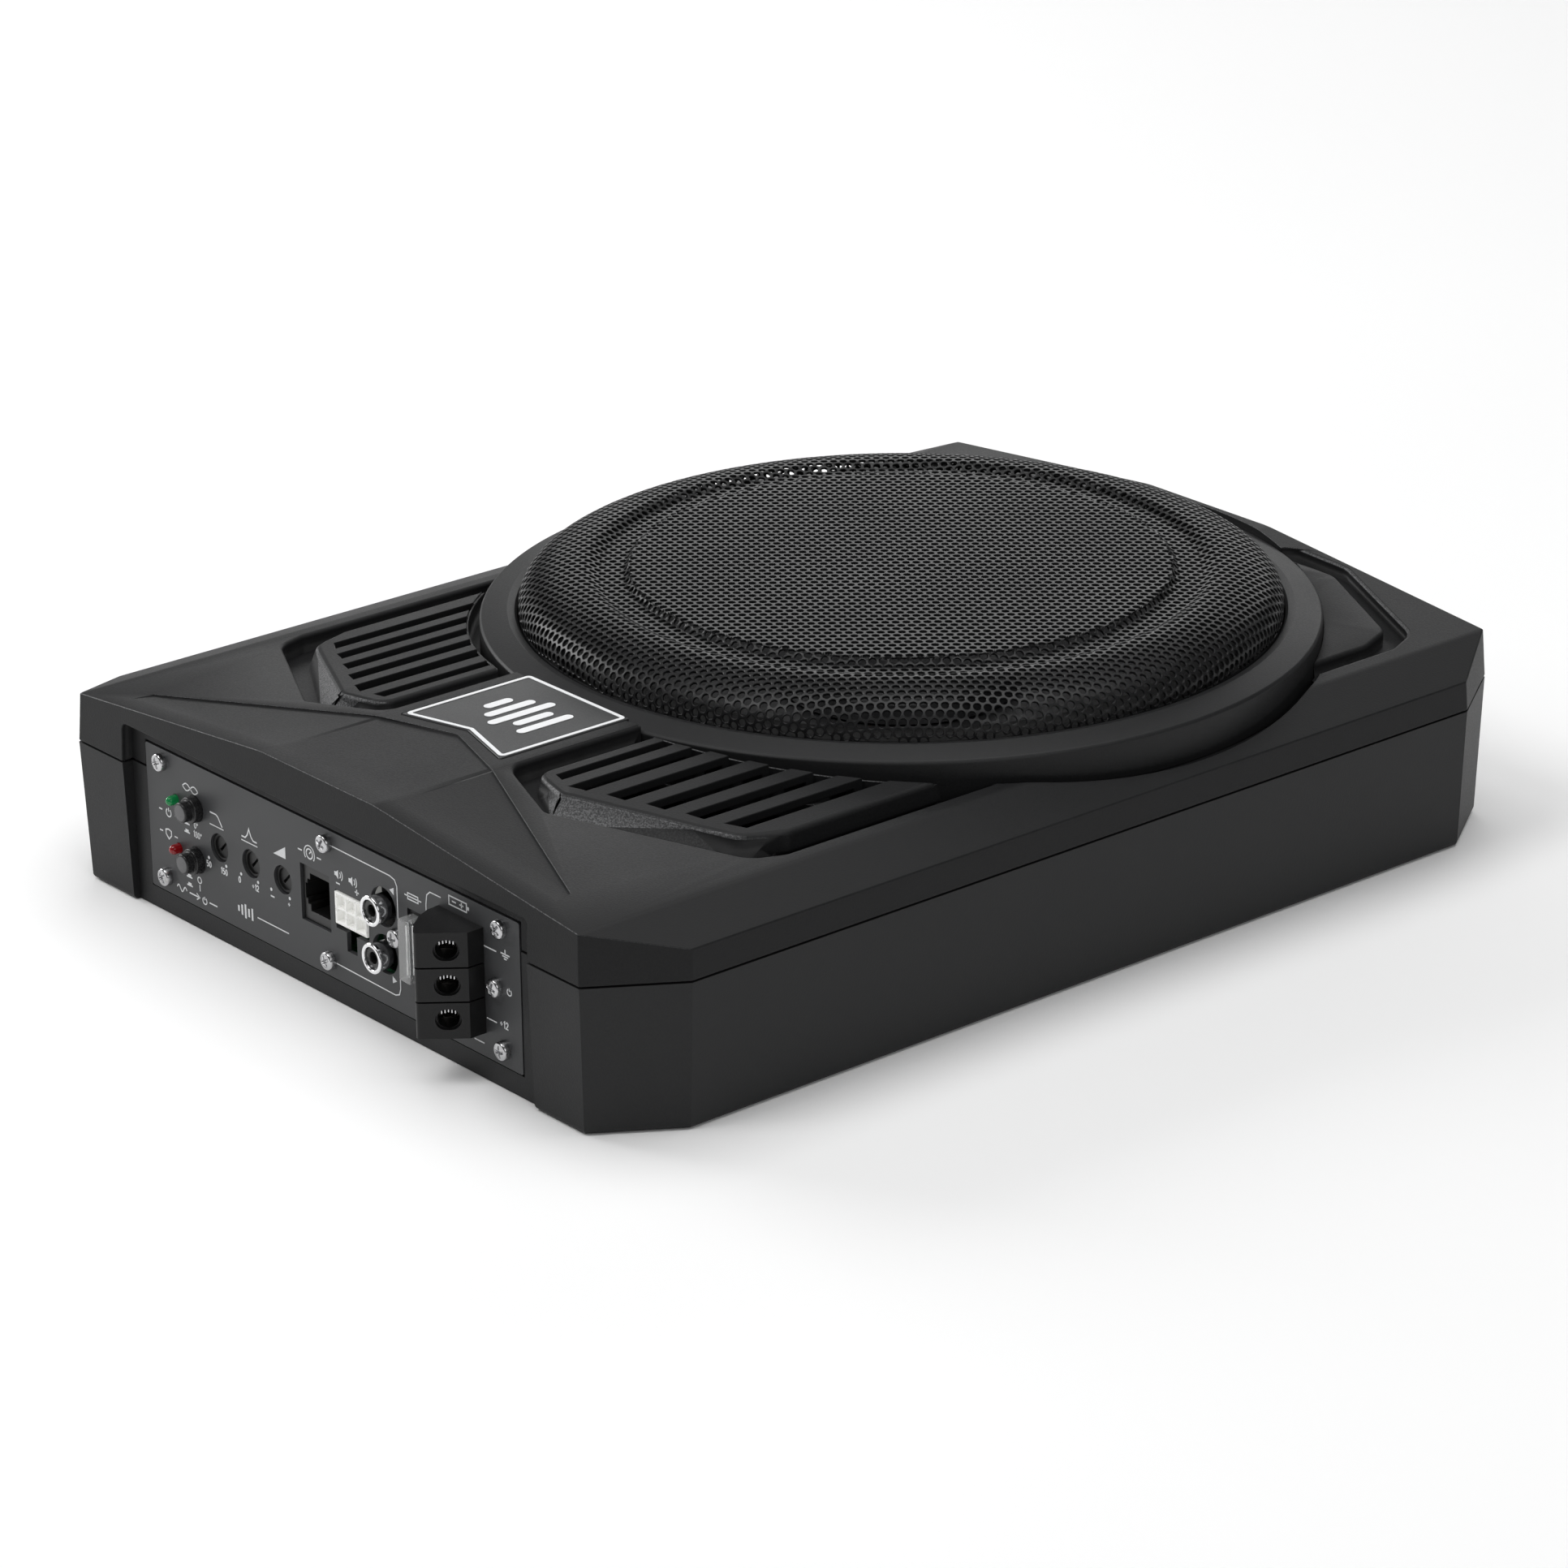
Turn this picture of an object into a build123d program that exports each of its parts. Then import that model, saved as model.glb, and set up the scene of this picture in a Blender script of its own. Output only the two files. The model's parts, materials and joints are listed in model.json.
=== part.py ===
from build123d import *
import math
import os

os.makedirs("parts", exist_ok=True)

# ---------------------------------------------------------------- driving dimensions (mm)
# Frame: origin at the centre of the underside, +Z up, the control panel faces -Y.

# enclosure
BODY_L = 352.0          # along Y, at the seam
BODY_W = 274.1          # along X, at the seam
BASE_L = 349.0          # at the underside
BASE_W = 270.2
CH_X, CH_Y = 16.8, 25.5           # corner chamfer legs at the seam
CHB_X, CHB_Y = 16.0, 24.286       # and at the underside
SEAM_Z = 44.5
SEAM_GAP = 0.5
WALL = 3.0
FLOOR = 3.0
LID_TOP_Z = 72.0        # height the lid's drafted sides are drawn to before trimming
LID_DRAFT = 1.35        # inward lean of each side over that height
# arched top, as a half profile of (x, z)
ARCH = [(27.0, 68.8), (119.5, 59.8), (145.0, 50.95)]
RAMP_STEP = 0.6         # the V-shaped field toward the panel sits this much lower

# woofer, ring and grille
AX_Y = 44.5             # speaker axis
RING_R = 128.4
RING_RI = 116.8
SHELF_Z = 54.0          # seat for the woofer flange and the ring
MOAT_R = 131.8
OPEN_R = 112.0
FLANGE_R = 122.0
GRILLE_R = 116.5
SCREW_RING_R = 116.6
TRAVEL = 5.0            # cone travel each way

# vents
# each slot: inner wall x, front end there, outer wall x, front end there
SLOTS = [(40.8, -120.7, 44.6, -121.6), (49.5, -123.1, 54.85, -121.1), (60.1, -117.7, 65.45, -115.7),
         (70.7, -112.0, 76.05, -110.0), (81.3, -106.5, 86.65, -104.5), (91.9, -101.3, 97.25, -98.0)]
POCKET_DEPTH = 6.0

# control panel
PANEL_Y = -172.5        # outer face of the plate
PANEL_T = 1.5
PANEL_X = 89.8
PANEL_Z0, PANEL_Z1 = 7.0, 52.6
RECESS_Y = -172.3
RECESS_X = 97.3
RECESS_Z = 56.8
SCREWS_XZ = [(-81.7, 48.5), (81.7, 48.5), (-81.7, 12.0), (81.7, 12.0),
             (0.4, 48.4), (0.3, 12.1), (78.9, 30.1), (33.3, 29.9)]
BUTTON_XZ = [(-65.3, 38.6), (-65.6, 22.2)]
BUTTON_TRAVEL = 2.0
LED_XZ = [(-75.2, 38.5), (-74.7, 23.2)]
TRIM_XZ = [(-53.6, 29.8), (-37.7, 29.8), (-21.9, 29.8)]
TRIM_R = 4.1
JACK = (-13.0, 1.2, 20.7, 38.2)          # x0, x1, z0, z1
CONN = (4.2, 19.4, 25.2, 35.0)
STEM = (8.8, 13.6, 17.6)
RCA_XZ = [(27.0, 37.2), (27.0, 22.7)]
RCA_OUT = 5.0
FUSE = (39.2, 44.6, 20.1, 39.1)
FUSE_OUT = 4.2
BLOCK_PLAN = [(53.1, 0.0), (53.6, 4.3), (55.9, 9.0), (59.6, 13.4), (64.3, 17.1), (73.6, 5.5), (73.6, 0.0)]
BLOCK_Z = (14.4, 46.2)
PORT_Z = (40.9, 30.45, 20.1)
PORT_R = 3.1


# ---------------------------------------------------------------- helpers
def ccw(pts):
    area = sum(pts[i][0] * pts[(i + 1) % len(pts)][1] - pts[(i + 1) % len(pts)][0] * pts[i][1] for i in range(len(pts)))
    return list(pts) if area > 0 else list(pts)[::-1]


def prism(pts, z0, z1):
    return Pos(0, 0, z0) * extrude(Polygon(*ccw(pts), align=None), amount=z1 - z0)


def box(x0, x1, y0, y1, z0, z1):
    return Pos((x0 + x1) / 2, (y0 + y1) / 2, (z0 + z1) / 2) * Box(x1 - x0, y1 - y0, z1 - z0)


def cyl(r, z0, z1, x=0.0, y=0.0):
    return Pos(x, y, (z0 + z1) / 2) * Cylinder(r, z1 - z0)


def ycyl(r, y0, y1, x, z):
    """Cylinder along Y."""
    return Pos(x, (y0 + y1) / 2, z) * Rot(90, 0, 0) * Cylinder(r, y1 - y0)


def mirrored(pts):
    return [(-x, y) for x, y in reversed(pts)]


def octo(w, l, cx, cy):
    x, y = w / 2, l / 2
    return [(-x + cx, -y), (x - cx, -y), (x, -y + cy), (x, y - cy), (x - cx, y), (-x + cx, y), (-x, y - cy), (-x, -y + cy)]


def octo_solid(w0, l0, cx0, cy0, z0, w1, l1, cx1, cy1, z1):
    a = Pos(0, 0, z0) * make_face(Polyline(*[(x, y, 0) for x, y in octo(w0, l0, cx0, cy0)], close=True))
    b = Pos(0, 0, z1) * make_face(Polyline(*[(x, y, 0) for x, y in octo(w1, l1, cx1, cy1)], close=True))
    return loft([a, b], ruled=True)


def arch_solid(drop, soft=True):
    """Everything under the arched top, lowered by drop, as a bar along Y."""
    right = [(x, z - drop) for x, z in ARCH]
    pts = [(-145, 30), (145, 30)] + right[::-1] + [(-x, z) for x, z in right]
    sk = Polygon(*pts, align=None)
    if soft:
        corners = [v for v in sk.vertices() if abs(v.Y - (ARCH[0][1] - drop)) < 0.01]
        sk = fillet(corners, 30)
        corners = [v for v in sk.vertices() if abs(v.Y - (ARCH[1][1] - drop)) < 0.01]
        sk = fillet(corners, 9)
    return Pos(0, 220, 0) * Rot(90, 0, 0) * extrude(sk, amount=440)


def lathe(pts, x=0.0, y=AX_Y):
    """Solid of revolution about the vertical axis at (x, y) from (r, z) points."""
    face = make_face(Polyline(*[(r, 0, z) for r, z in pts], close=True))
    return Pos(x, y, 0) * revolve(face, axis=Axis.Z)


def strip(path, t):
    """Outline of a sheet of thickness t that follows path, as (r, z) points."""
    n = len(path)
    left, right = [], []
    for i, (r, z) in enumerate(path):
        d0 = (path[i][0] - path[i - 1][0], path[i][1] - path[i - 1][1]) if i else None
        d1 = (path[i + 1][0] - path[i][0], path[i + 1][1] - path[i][1]) if i < n - 1 else None
        d0 = d0 or d1
        d1 = d1 or d0
        l0, l1 = math.hypot(*d0), math.hypot(*d1)
        n0, n1 = (-d0[1] / l0, d0[0] / l0), (-d1[1] / l1, d1[0] / l1)
        bx, bz = n0[0] + n1[0], n0[1] + n1[1]
        k = (t / 2) * 2 / max(bx * bx + bz * bz, 0.4)
        left.append((r + bx * k, z + bz * k))
        right.append((r - bx * k, z - bz * k))
    if path[0][0] < 1e-6:
        left[0] = (0.0, left[0][1])
        right[0] = (0.0, right[0][1])
    if path[-1][0] < 1e-6:
        left[-1] = (0.0, left[-1][1])
        right[-1] = (0.0, right[-1][1])
    return left + right[::-1]


def save(name, shape):
    solids = list(shape) if isinstance(shape, (list, tuple)) else [shape]
    flat = []
    for s in solids:
        flat.extend(s.solids() if hasattr(s, "solids") else [s])
    out = flat[0] if len(flat) == 1 else Compound(children=flat)
    export_step(out, f"parts/{name}.step")
    bb = out.bounding_box()
    print(f"{name:24s} solids {len(flat):3d} vol {sum(s.volume for s in flat) / 1000:9.2f} cm3  "
          f"x {bb.min.X:7.1f}..{bb.max.X:7.1f} y {bb.min.Y:7.1f}..{bb.max.Y:7.1f} z {bb.min.Z:6.1f}..{bb.max.Z:6.1f}", flush=True)


def fuse_all(first, others):
    out = first
    for o in others:
        out = out + o
    return out


def cut_all(first, others):
    out = first
    for o in others:
        out = out - o
    return out


# ---------------------------------------------------------------- shared cutters
lid_bottom = SEAM_Z + SEAM_GAP / 2
shell_top = SEAM_Z - SEAM_GAP / 2

# recess in the front wall and the rebated window that takes the control plate
recess = box(-RECESS_X, RECESS_X, -200, RECESS_Y, -5, RECESS_Z)
recess = fillet(recess.edges().filter_by(Axis.Y).group_by(Axis.Z)[-1], 2.0)
plate_seat = box(-PANEL_X - 0.4, PANEL_X + 0.4, -200, PANEL_Y + PANEL_T + 0.4, PANEL_Z0 - 0.4, PANEL_Z1 + 0.4)
window = box(-78.5, 76.2, -200, -150, 16.0, 44.2)
window = window + box(2.0, 76.2, -200, -150, 14.0, 46.5)
front_land = box(-RECESS_X, RECESS_X, RECESS_Y, -167.6, 3.0, 61.0)

COVER_SCREWS = [(118.0, -146.0), (-118.0, -146.0), (119.0, 150.0), (-119.0, 150.0),
                (126.0, -62.0), (-126.0, -62.0), (52.0, 168.0), (-52.0, 168.0)]
WOOFER_ANG = [22.5 + 45 * i for i in range(8)]
WOOFER_SCREWS = [(SCREW_RING_R * math.cos(math.radians(a)), AX_Y + SCREW_RING_R * math.sin(math.radians(a))) for a in WOOFER_ANG]

# ---------------------------------------------------------------- lower shell
shell = octo_solid(BASE_W, BASE_L, CHB_X, CHB_Y, 0, BODY_W - 0.05, BODY_L - 0.05, CH_X, CH_Y, shell_top)
try:
    shell = fillet(shell.edges().group_by(Axis.Z)[0], 1.8)
except Exception:
    pass
cavity = octo_solid(BASE_W - 2 * WALL, BASE_L - 2 * WALL, CHB_X, CHB_Y, FLOOR,
                    BODY_W - 2 * WALL, BODY_L - 2 * WALL, CH_X, CH_Y, SEAM_Z + 1)
keep = box(-RECESS_X - 3, RECESS_X + 3, -180, -167.6, 0, 70)
keep = fuse_all(keep, [cyl(5.0, 0, 70, x, y) for x, y in COVER_SCREWS])
shell = shell - (cavity - keep)
shell = shell - recess - plate_seat - window
# foot pad pockets and cover screw holes
FEET = [(104.0, -140.0), (-104.0, -140.0), (104.0, 140.0), (-104.0, 140.0)]
shell = cut_all(shell, [cyl(11.2, -1, 1.0, x, y) for x, y in FEET])
shell = cut_all(shell, [cyl(4.0, -1, 3.4, x, y) for x, y in COVER_SCREWS])
shell = cut_all(shell, [cyl(1.9, 2, 50, x, y) for x, y in COVER_SCREWS])
# plate screw pilot holes in the ledge
shell = cut_all(shell, [ycyl(1.25, -173, -166, x, z) for x, z in SCREWS_XZ[:7]])
# stand-offs for the amplifier board
BOARD_POSTS = [(-106.0, -160.0), (106.0, -160.0), (-106.0, -98.0), (106.0, -98.0), (0.0, -98.6), (-40.0, -160.5)]
posts = [cyl(3.2, FLOOR - 0.5, 9.0, x, y) - cyl(1.2, FLOOR + 1, 10, x, y) for x, y in BOARD_POSTS]
shell = fuse_all(shell, posts)
save("lower_shell", shell)

# ---------------------------------------------------------------- lid
lid_out = octo_solid(BODY_W, BODY_L, CH_X, CH_Y, lid_bottom,
                     BODY_W - 2 * LID_DRAFT, BODY_L - 2 * LID_DRAFT, CH_X, CH_Y, LID_TOP_Z) & arch_solid(0)
lid_in = octo_solid(BODY_W - 2 * WALL, BODY_L - 2 * WALL, CH_X, CH_Y, SEAM_Z - 1,
                    BODY_W - 2 * WALL - 2 * LID_DRAFT, BODY_L - 2 * WALL - 2 * LID_DRAFT, CH_X, CH_Y, LID_TOP_Z) & arch_solid(3.4, False)

V_RAMP = [(0, -124.7), (28.2, -133.8), (99.5, -162.0), (101.0, -168.6), (-101.0, -168.6), (-99.5, -162.0), (-28.2, -133.8)]
# the field rises back to the arch just before the front edge
tilted = Pos(0, -168.6, 60) * Rot(-4.5, 0, 0) * Pos(0, 168.6, -60) * arch_solid(0)
ramp_cut = prism(V_RAMP, 50, 80) - arch_solid(RAMP_STEP) - tilted

# outlines of the vents: (x, y, corner radius)
POCKET = [(29.3, -50, 0), (29.3, -128.4, 6.5), (57.0, -137.3, 3.0), (110.6, -108.2, 10.0), (114.1, -98.0, 6.0), (114.1, -14.0, 0), (60, -14, 0)]
ISLAND = [(36.5, -50, 0), (36.5, -123.9, 5.5), (52.0, -127.2, 4.5), (98.8, -100.6, 9.0), (104.2, -88.0, 6.0), (104.2, -20.0, 0), (60, -20, 0)]
FOOT = [(35.5, -50, 0), (35.5, -127.4, 6.5), (54.0, -132.2, 4.5), (101.6, -105.4, 10.0), (106.5, -90.0, 6.0), (106.5, -20.0, 0), (60, -20, 0)]
CORE = [(40.8, -60), (40.8, -120.7), (43.0, -122.6), (49.5, -123.1), (53.0, -122.6), (94.0, -100.6), (96.3, -98.8), (97.25, -96.0), (97.25, -30.0), (60, -30)]
FAR_OUT = [(41.6, 150, 0), (41.6, 169.9, 6.0), (64.0, 172.3, 8.0), (108.8, 154.2, 9.0), (113.6, 142.0, 6.0), (113.6, 96.0, 0), (60, 96, 0)]
FAR_ISL = [(52.0, 145, 0), (52.0, 162.0, 4.0), (66.0, 165.3, 8.0), (103.8, 149.0, 7.0), (108.3, 136.0, 6.0), (108.3, 96.0, 0), (60, 96, 0)]


def flip(pts, side):
    return pts if side == 1 else [(-q[0],) + tuple(q[1:]) for q in reversed(pts)]


def soft_outline(pts, grow=0.0):
    """Flat outline whose corners carry their own radii."""
    pts = pts if sum(pts[i][0] * pts[(i + 1) % len(pts)][1] - pts[(i + 1) % len(pts)][0] * pts[i][1] for i in range(len(pts))) > 0 else pts[::-1]
    sk = Polygon(*[(q[0], q[1]) for q in pts], align=None)
    for q in pts:
        if q[2] > 0:
            near = [v for v in sk.vertices() if math.hypot(v.X - q[0], v.Y - q[1]) < 0.01]
            sk = fillet(near, q[2])
    return offset(sk, amount=grow) if grow else sk


def soft_prism(pts, z0, z1, grow=0.0):
    return Pos(0, 0, z0) * extrude(soft_outline(pts, grow), amount=z1 - z0)


ring_zone = cyl(RING_R + 0.15, 40, 90, 0, AX_Y)
ring_out = cyl(134.8, 50.9, 90, 0, AX_Y)

isl_top = [(27, 67.9), (54, 67.2), (104.3, 61.9), (125, 59.6)]
isl_prof = Polygon((-125, 30), (125, 30), *isl_top[::-1], *[(-x, z) for x, z in isl_top], align=None)
isl_arch = Pos(0, 220, 0) * Rot(90, 0, 0) * extrude(isl_prof, amount=440)
isl_arch_in = Pos(0, 0, -2.6) * isl_arch

pocket_cut, pocket_back, island_core, island = [], [], [], []
far_cut, far_back = [], []
for side in (1, -1):
    pocket_cut.append(soft_prism(flip(POCKET, side), 40, 90))
    pocket_back.append(soft_prism(flip(POCKET, side), 40, 90, 2.6))
    foot = Pos(0, 0, 55.2) * soft_outline(flip(FOOT, side))
    head = Pos(0, 0, 69.0) * soft_outline(flip(ISLAND, side))
    island.append(loft([foot, head], ruled=True) & isl_arch)
    island_core.append(prism(flip(CORE, side), 40, 90) & isl_arch_in)
    far_cut.append(soft_prism(flip(FAR_OUT, side), 40, 90) - soft_prism(flip(FAR_ISL, side), 39, 91))
    far_back.append(soft_prism(flip(FAR_OUT, side), 40, 90, 2.6))

deep_pocket = arch_solid(POCKET_DEPTH, False)
deep_pocket_back = arch_solid(POCKET_DEPTH + 2.8, False)
deep_far = arch_solid(4.6, False)
deep_far_back = arch_solid(4.6 + 2.8, False)

inner = lid_in - ring_out
for b in pocket_back:
    inner = inner - (b - deep_pocket_back)
for c in island_core:
    inner = inner + (c - ring_out)
for b in far_back:
    inner = inner - (b - deep_far_back)
inner = inner - box(-RECESS_X - 3, RECESS_X + 3, -180, -167.6, 40, 70)
inner = cut_all(inner, [cyl(5.0, 40, 80, x, y) for x, y in COVER_SCREWS])
inner = cut_all(inner, [cyl(4.2, 44.7, 60, x, y) for x, y in WOOFER_SCREWS])

lid = lid_out - inner
lid = lid - ramp_cut
for p, i in zip(pocket_cut, island):
    lid = lid - (p - deep_pocket - ring_zone - i)
for f in far_cut:
    lid = lid - (f - deep_far - ring_zone)
# islands whose tops stand a little over the arch
for i in island:
    lid = lid + (i - arch_solid(POCKET_DEPTH + 0.5, False) - cyl(MOAT_R + 0.6, 40, 90, 0, AX_Y) - island_core[0] - island_core[1])
# moat round the ring, left out where the badge field and the far end meet the ring
moat = cyl(MOAT_R, SHELF_Z, 90, 0, AX_Y) - cyl(RING_R + 0.15, 40, 95, 0, AX_Y)
moat = moat - box(-29.3, 29.3, -120, 0, 40, 95) - box(-113.6, 113.6, 112.0, 190, 40, 95)
lid = lid - moat
lid = lid - cyl(RING_R + 0.15, SHELF_Z, 90, 0, AX_Y)
lid = lid - cyl(OPEN_R, 40, 90, 0, AX_Y)
# slots
for side in (1, -1):
    m = (lambda p: p) if side == 1 else mirrored
    for x0, y0, x1, y1 in SLOTS:
        lid = lid - (prism(m([(x0, y0), (x1, y1), (x1, -20), (x0, -20)]), 55.2, 80) - cyl(MOAT_R + 0.6, 40, 95, 0, AX_Y))
# badge seat
BADGE = [(-22.9, -80.9), (-22.9, -126.7), (0.0, -120.3), (22.9, -126.7), (22.9, -80.9)]
BADGE = ccw(BADGE)
badge_sk = offset(Polygon(*BADGE, align=None), amount=0.9)
lid = lid - Pos(0, 0, 67.8) * extrude(badge_sk, amount=10)
lid = lid - recess - plate_seat - window
lid = cut_all(lid, [cyl(1.3, 40, 53.0, x, y) for x, y in COVER_SCREWS])
lid = cut_all(lid, [cyl(1.3, 45.6, 60, x, y) for x, y in WOOFER_SCREWS])
lid = cut_all(lid, [ycyl(1.25, -173, -166, x, z) for x, z in SCREWS_XZ[:6]])
lids = sorted(lid.solids(), key=lambda s: -s.volume)
save("top_cover", lids[0])

# foam seal between the halves
seal_o = prism(octo(BODY_W - 2.2, BODY_L - 2.2, CH_X, CH_Y), shell_top + 0.02, lid_bottom - 0.02)
seal_i = prism(octo(BODY_W - 2 * WALL + 0.2, BODY_L - 2 * WALL + 0.2, CH_X, CH_Y), shell_top - 1, lid_bottom + 1)
seal = seal_o - seal_i - box(-RECESS_X - 0.2, RECESS_X + 0.2, -180, -160, 40, 50)
save("seam_seal", seal)

# ---------------------------------------------------------------- badge
plate_sk = offset(Polygon(*BADGE, align=None), amount=0.6)
plate_sk = fillet(plate_sk.vertices(), 1.2) if len(plate_sk.vertices()) == 5 else plate_sk
save("badge_plate", Pos(0, 0, 67.8) * extrude(plate_sk, amount=1.2))
line_o = fillet(Polygon(*BADGE, align=None).vertices(), 1.5)
line_i = fillet(offset(Polygon(*BADGE, align=None), amount=-1.25).vertices(), 0.6)
frame_line = Pos(0, 0, 69.0) * extrude(line_o - line_i, amount=0.15)
bars = []
for i, h in enumerate((10.0, 18.0, 24.0, 14.0, 20.0)):
    x = -11.0 + 5.5 * i
    bars.append(Pos(x, -101.5, 69.0) * extrude(SlotOverall(h, 3.2, rotation=90), amount=0.15))
save("badge_print", [frame_line] + bars)

# ---------------------------------------------------------------- ring, grille and gasket
save("trim_ring", lathe([(RING_R, 54.1), (RING_R, 65.9), (127.9, 66.4), (119.9, 68.6), (117.6, 68.2), (RING_RI, 67.3),
                         (RING_RI, 62.0), (122.6, 62.0), (122.6, 54.1)]))
GRILLE = [(121.9, 61.35), (116.0, 61.35), (116.0, 70.6), (115.6, 72.4), (114.7, 74.1), (113.2, 75.8), (111.0, 77.3), (108.0, 78.5),
          (104.0, 79.5), (100.0, 80.1), (96.6, 80.25), (94.8, 79.95), (92.6, 79.0), (91.0, 78.7), (86.5, 78.75), (84.4, 78.9),
          (83.3, 79.5), (82.4, 80.45), (80.6, 80.7), (60.0, 80.85), (30.0, 80.98), (0.0, 81.05)]
save("mesh_grille", lathe(strip(GRILLE, 0.9)))
gasket = lathe([(113.0, 56.45), (121.9, 56.45), (121.9, 60.85), (113.0, 60.85)])
gasket = cut_all(gasket, [cyl(4.3, 50, 70, x, y) for x, y in WOOFER_SCREWS])
save("grille_gasket", gasket)

# ---------------------------------------------------------------- woofer
BASKET = [(36.5, 28.8), (52.0, 28.8), (54.6, 32.9), (63.5, 32.9), (68.5, 36.0), (97.5, 44.0), (102.6, 53.0), (105.0, 55.6), (FLANGE_R, 55.6)]
basket = lathe(strip(BASKET, 1.5))
for a in range(6):
    win = Pos(0, AX_Y, 0) * Rot(0, 0, 60 * a) * box(70.0, 96.0, -26.0, 26.0, 30, 52)
    basket = basket - win
basket = cut_all(basket, [cyl(2.2, 50, 60, x, y) for x, y in WOOFER_SCREWS])
save("basket", basket)
save("flange_seal", lathe([(112.6, 54.05), (121.9, 54.05), (121.9, 54.8), (112.6, 54.8)])
     - fuse_all(cyl(2.4, 50, 60, *WOOFER_SCREWS[0]), [cyl(2.4, 50, 60, x, y) for x, y in WOOFER_SCREWS[1:]]))
save("motor_top_plate", lathe([(28.0, 22.0), (52.5, 22.0), (52.5, 28.0), (28.0, 28.0)]))
save("magnet", lathe([(32.0, 9.0), (58.0, 9.0), (59.5, 10.5), (59.5, 20.5), (58.0, 22.0), (32.0, 22.0)]))
save("back_plate", lathe([(0, 4.0), (52.0, 4.0), (54.5, 5.6), (54.5, 9.0), (24.4, 9.0), (24.4, 27.6), (22.8, 29.2), (0, 29.2)]) - cyl(8.0, 0, 40, 0, AX_Y))
save("voice_coil", [lathe([(25.4, 16.0), (25.9, 16.0), (25.9, 38.4), (25.4, 38.4)]),
                    lathe([(25.92, 17.6), (27.1, 17.6), (27.1, 32.4), (25.92, 32.4)])])
CONE = [(26.9, 36.4), (28.0, 38.2), (60.0, 47.2), (86.0, 55.7), (91.0, 56.9)]
save("cone", lathe(strip(CONE, 1.1)))
CAP = [(36.4, 41.7), (33.6, 46.6), (26.0, 50.4), (14.0, 52.9), (0.0, 53.7)]
save("dust_cap", lathe(strip(CAP, 0.8)))
roll = [(111.6, 56.85), (104.4, 56.85)]
for k in range(1, 12):
    a = math.radians(180 * k / 12)
    roll.append((97.9 + 6.5 * math.cos(a), 56.95 + 6.9 * math.sin(a)))
roll += [(91.3, 58.15), (86.6, 57.0)]
save("surround", lathe(strip(roll, 0.8)))
spider = [(63.0, 34.1), (57.5, 34.1)]
for k in range(1, 24):
    r = 57.5 - 29.3 * k / 24
    spider.append((r, 34.1 + 0.9 * math.sin(2 * math.pi * k / 6)))
spider += [(28.2, 34.1), (26.35, 34.1)]
save("spider", lathe(strip(spider, 0.6)))
ws = []
for x, y in WOOFER_SCREWS:
    s = cyl(3.9, 56.45, 58.9, x, y)
    s = fillet(s.edges().group_by(Axis.Z)[-1], 1.0)
    s = s - (Pos(x, y, 58.2) * Box(4.0, 0.9, 2.2)) - (Pos(x, y, 58.2) * Box(0.9, 4.0, 2.2)) + cyl(1.25, 46.2, 56.5, x, y)
    ws.append(s)
save("woofer_screws", ws)
# tag strip for the voice coil, riveted to the basket
save("woofer_terminals", [box(-16.0, 16.0, -41.5, -39.7, 29.5, 38.7),
                          box(-11.5, -8.5, -47.0, -41.52, 33.0, 33.8), box(8.5, 11.5, -47.0, -41.52, 33.0, 33.8)])

# ---------------------------------------------------------------- control plate
plate = box(-PANEL_X, PANEL_X, PANEL_Y, PANEL_Y + PANEL_T, PANEL_Z0, PANEL_Z1)
plate = fillet(plate.edges().filter_by(Axis.Y), 0.8)
plate = cut_all(plate, [ycyl(1.7, -176, -168, x, z) for x, z in SCREWS_XZ])
plate = cut_all(plate, [ycyl(4.15, -176, -168, x, z) for x, z in BUTTON_XZ])
plate = cut_all(plate, [ycyl(1.65, -176, -168, x, z) for x, z in LED_XZ])
plate = cut_all(plate, [ycyl(TRIM_R + 0.3, -176, -168, x, z) for x, z in TRIM_XZ])
plate = plate - box(JACK[0], JACK[1], -176, -168, JACK[2], JACK[3])
plate = plate - box(CONN[0] - 0.3, CONN[1] + 0.3, -176, -168, CONN[2] - 1.8, CONN[3] + 0.3) - box(STEM[0], STEM[1], -176, -168, STEM[2], 26)
plate = cut_all(plate, [ycyl(6.0, -176, -168, x, z) for x, z in RCA_XZ])
plate = plate - box(FUSE[0] - 0.8, FUSE[1] + 0.8, -176, -168, FUSE[2] - 1.9, FUSE[3] + 1.6)
plate = plate - box(57.0, 72.6, -176, -168, 16.0, 44.6)
save("control_plate", plate)
pg = box(-88.6, 88.6, PANEL_Y + PANEL_T + 0.02, PANEL_Y + PANEL_T + 0.38, 8.2, 51.4) - box(-80.0, 78.0, -176, -160, 14.8, 45.6)
pg = cut_all(pg, [ycyl(1.8, -176, -168, x, z) for x, z in SCREWS_XZ])
save("plate_gasket", pg)

pan = []
for n, (x, z) in enumerate(SCREWS_XZ):
    depth = -166.6 if n < 6 else -169.3
    head = ycyl(2.85, PANEL_Y - 2.4, PANEL_Y - 0.02, x, z)
    head = fillet(head.edges().group_by(Axis.Y)[0], 1.0)
    head = head - Pos(x, PANEL_Y - 2.0, z) * Box(3.3, 2.0, 0.8) - Pos(x, PANEL_Y - 2.0, z) * Box(0.8, 2.0, 3.3)
    pan.append(head + ycyl(1.2, PANEL_Y - 0.1, depth, x, z))
save("panel_screws", pan)

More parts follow.
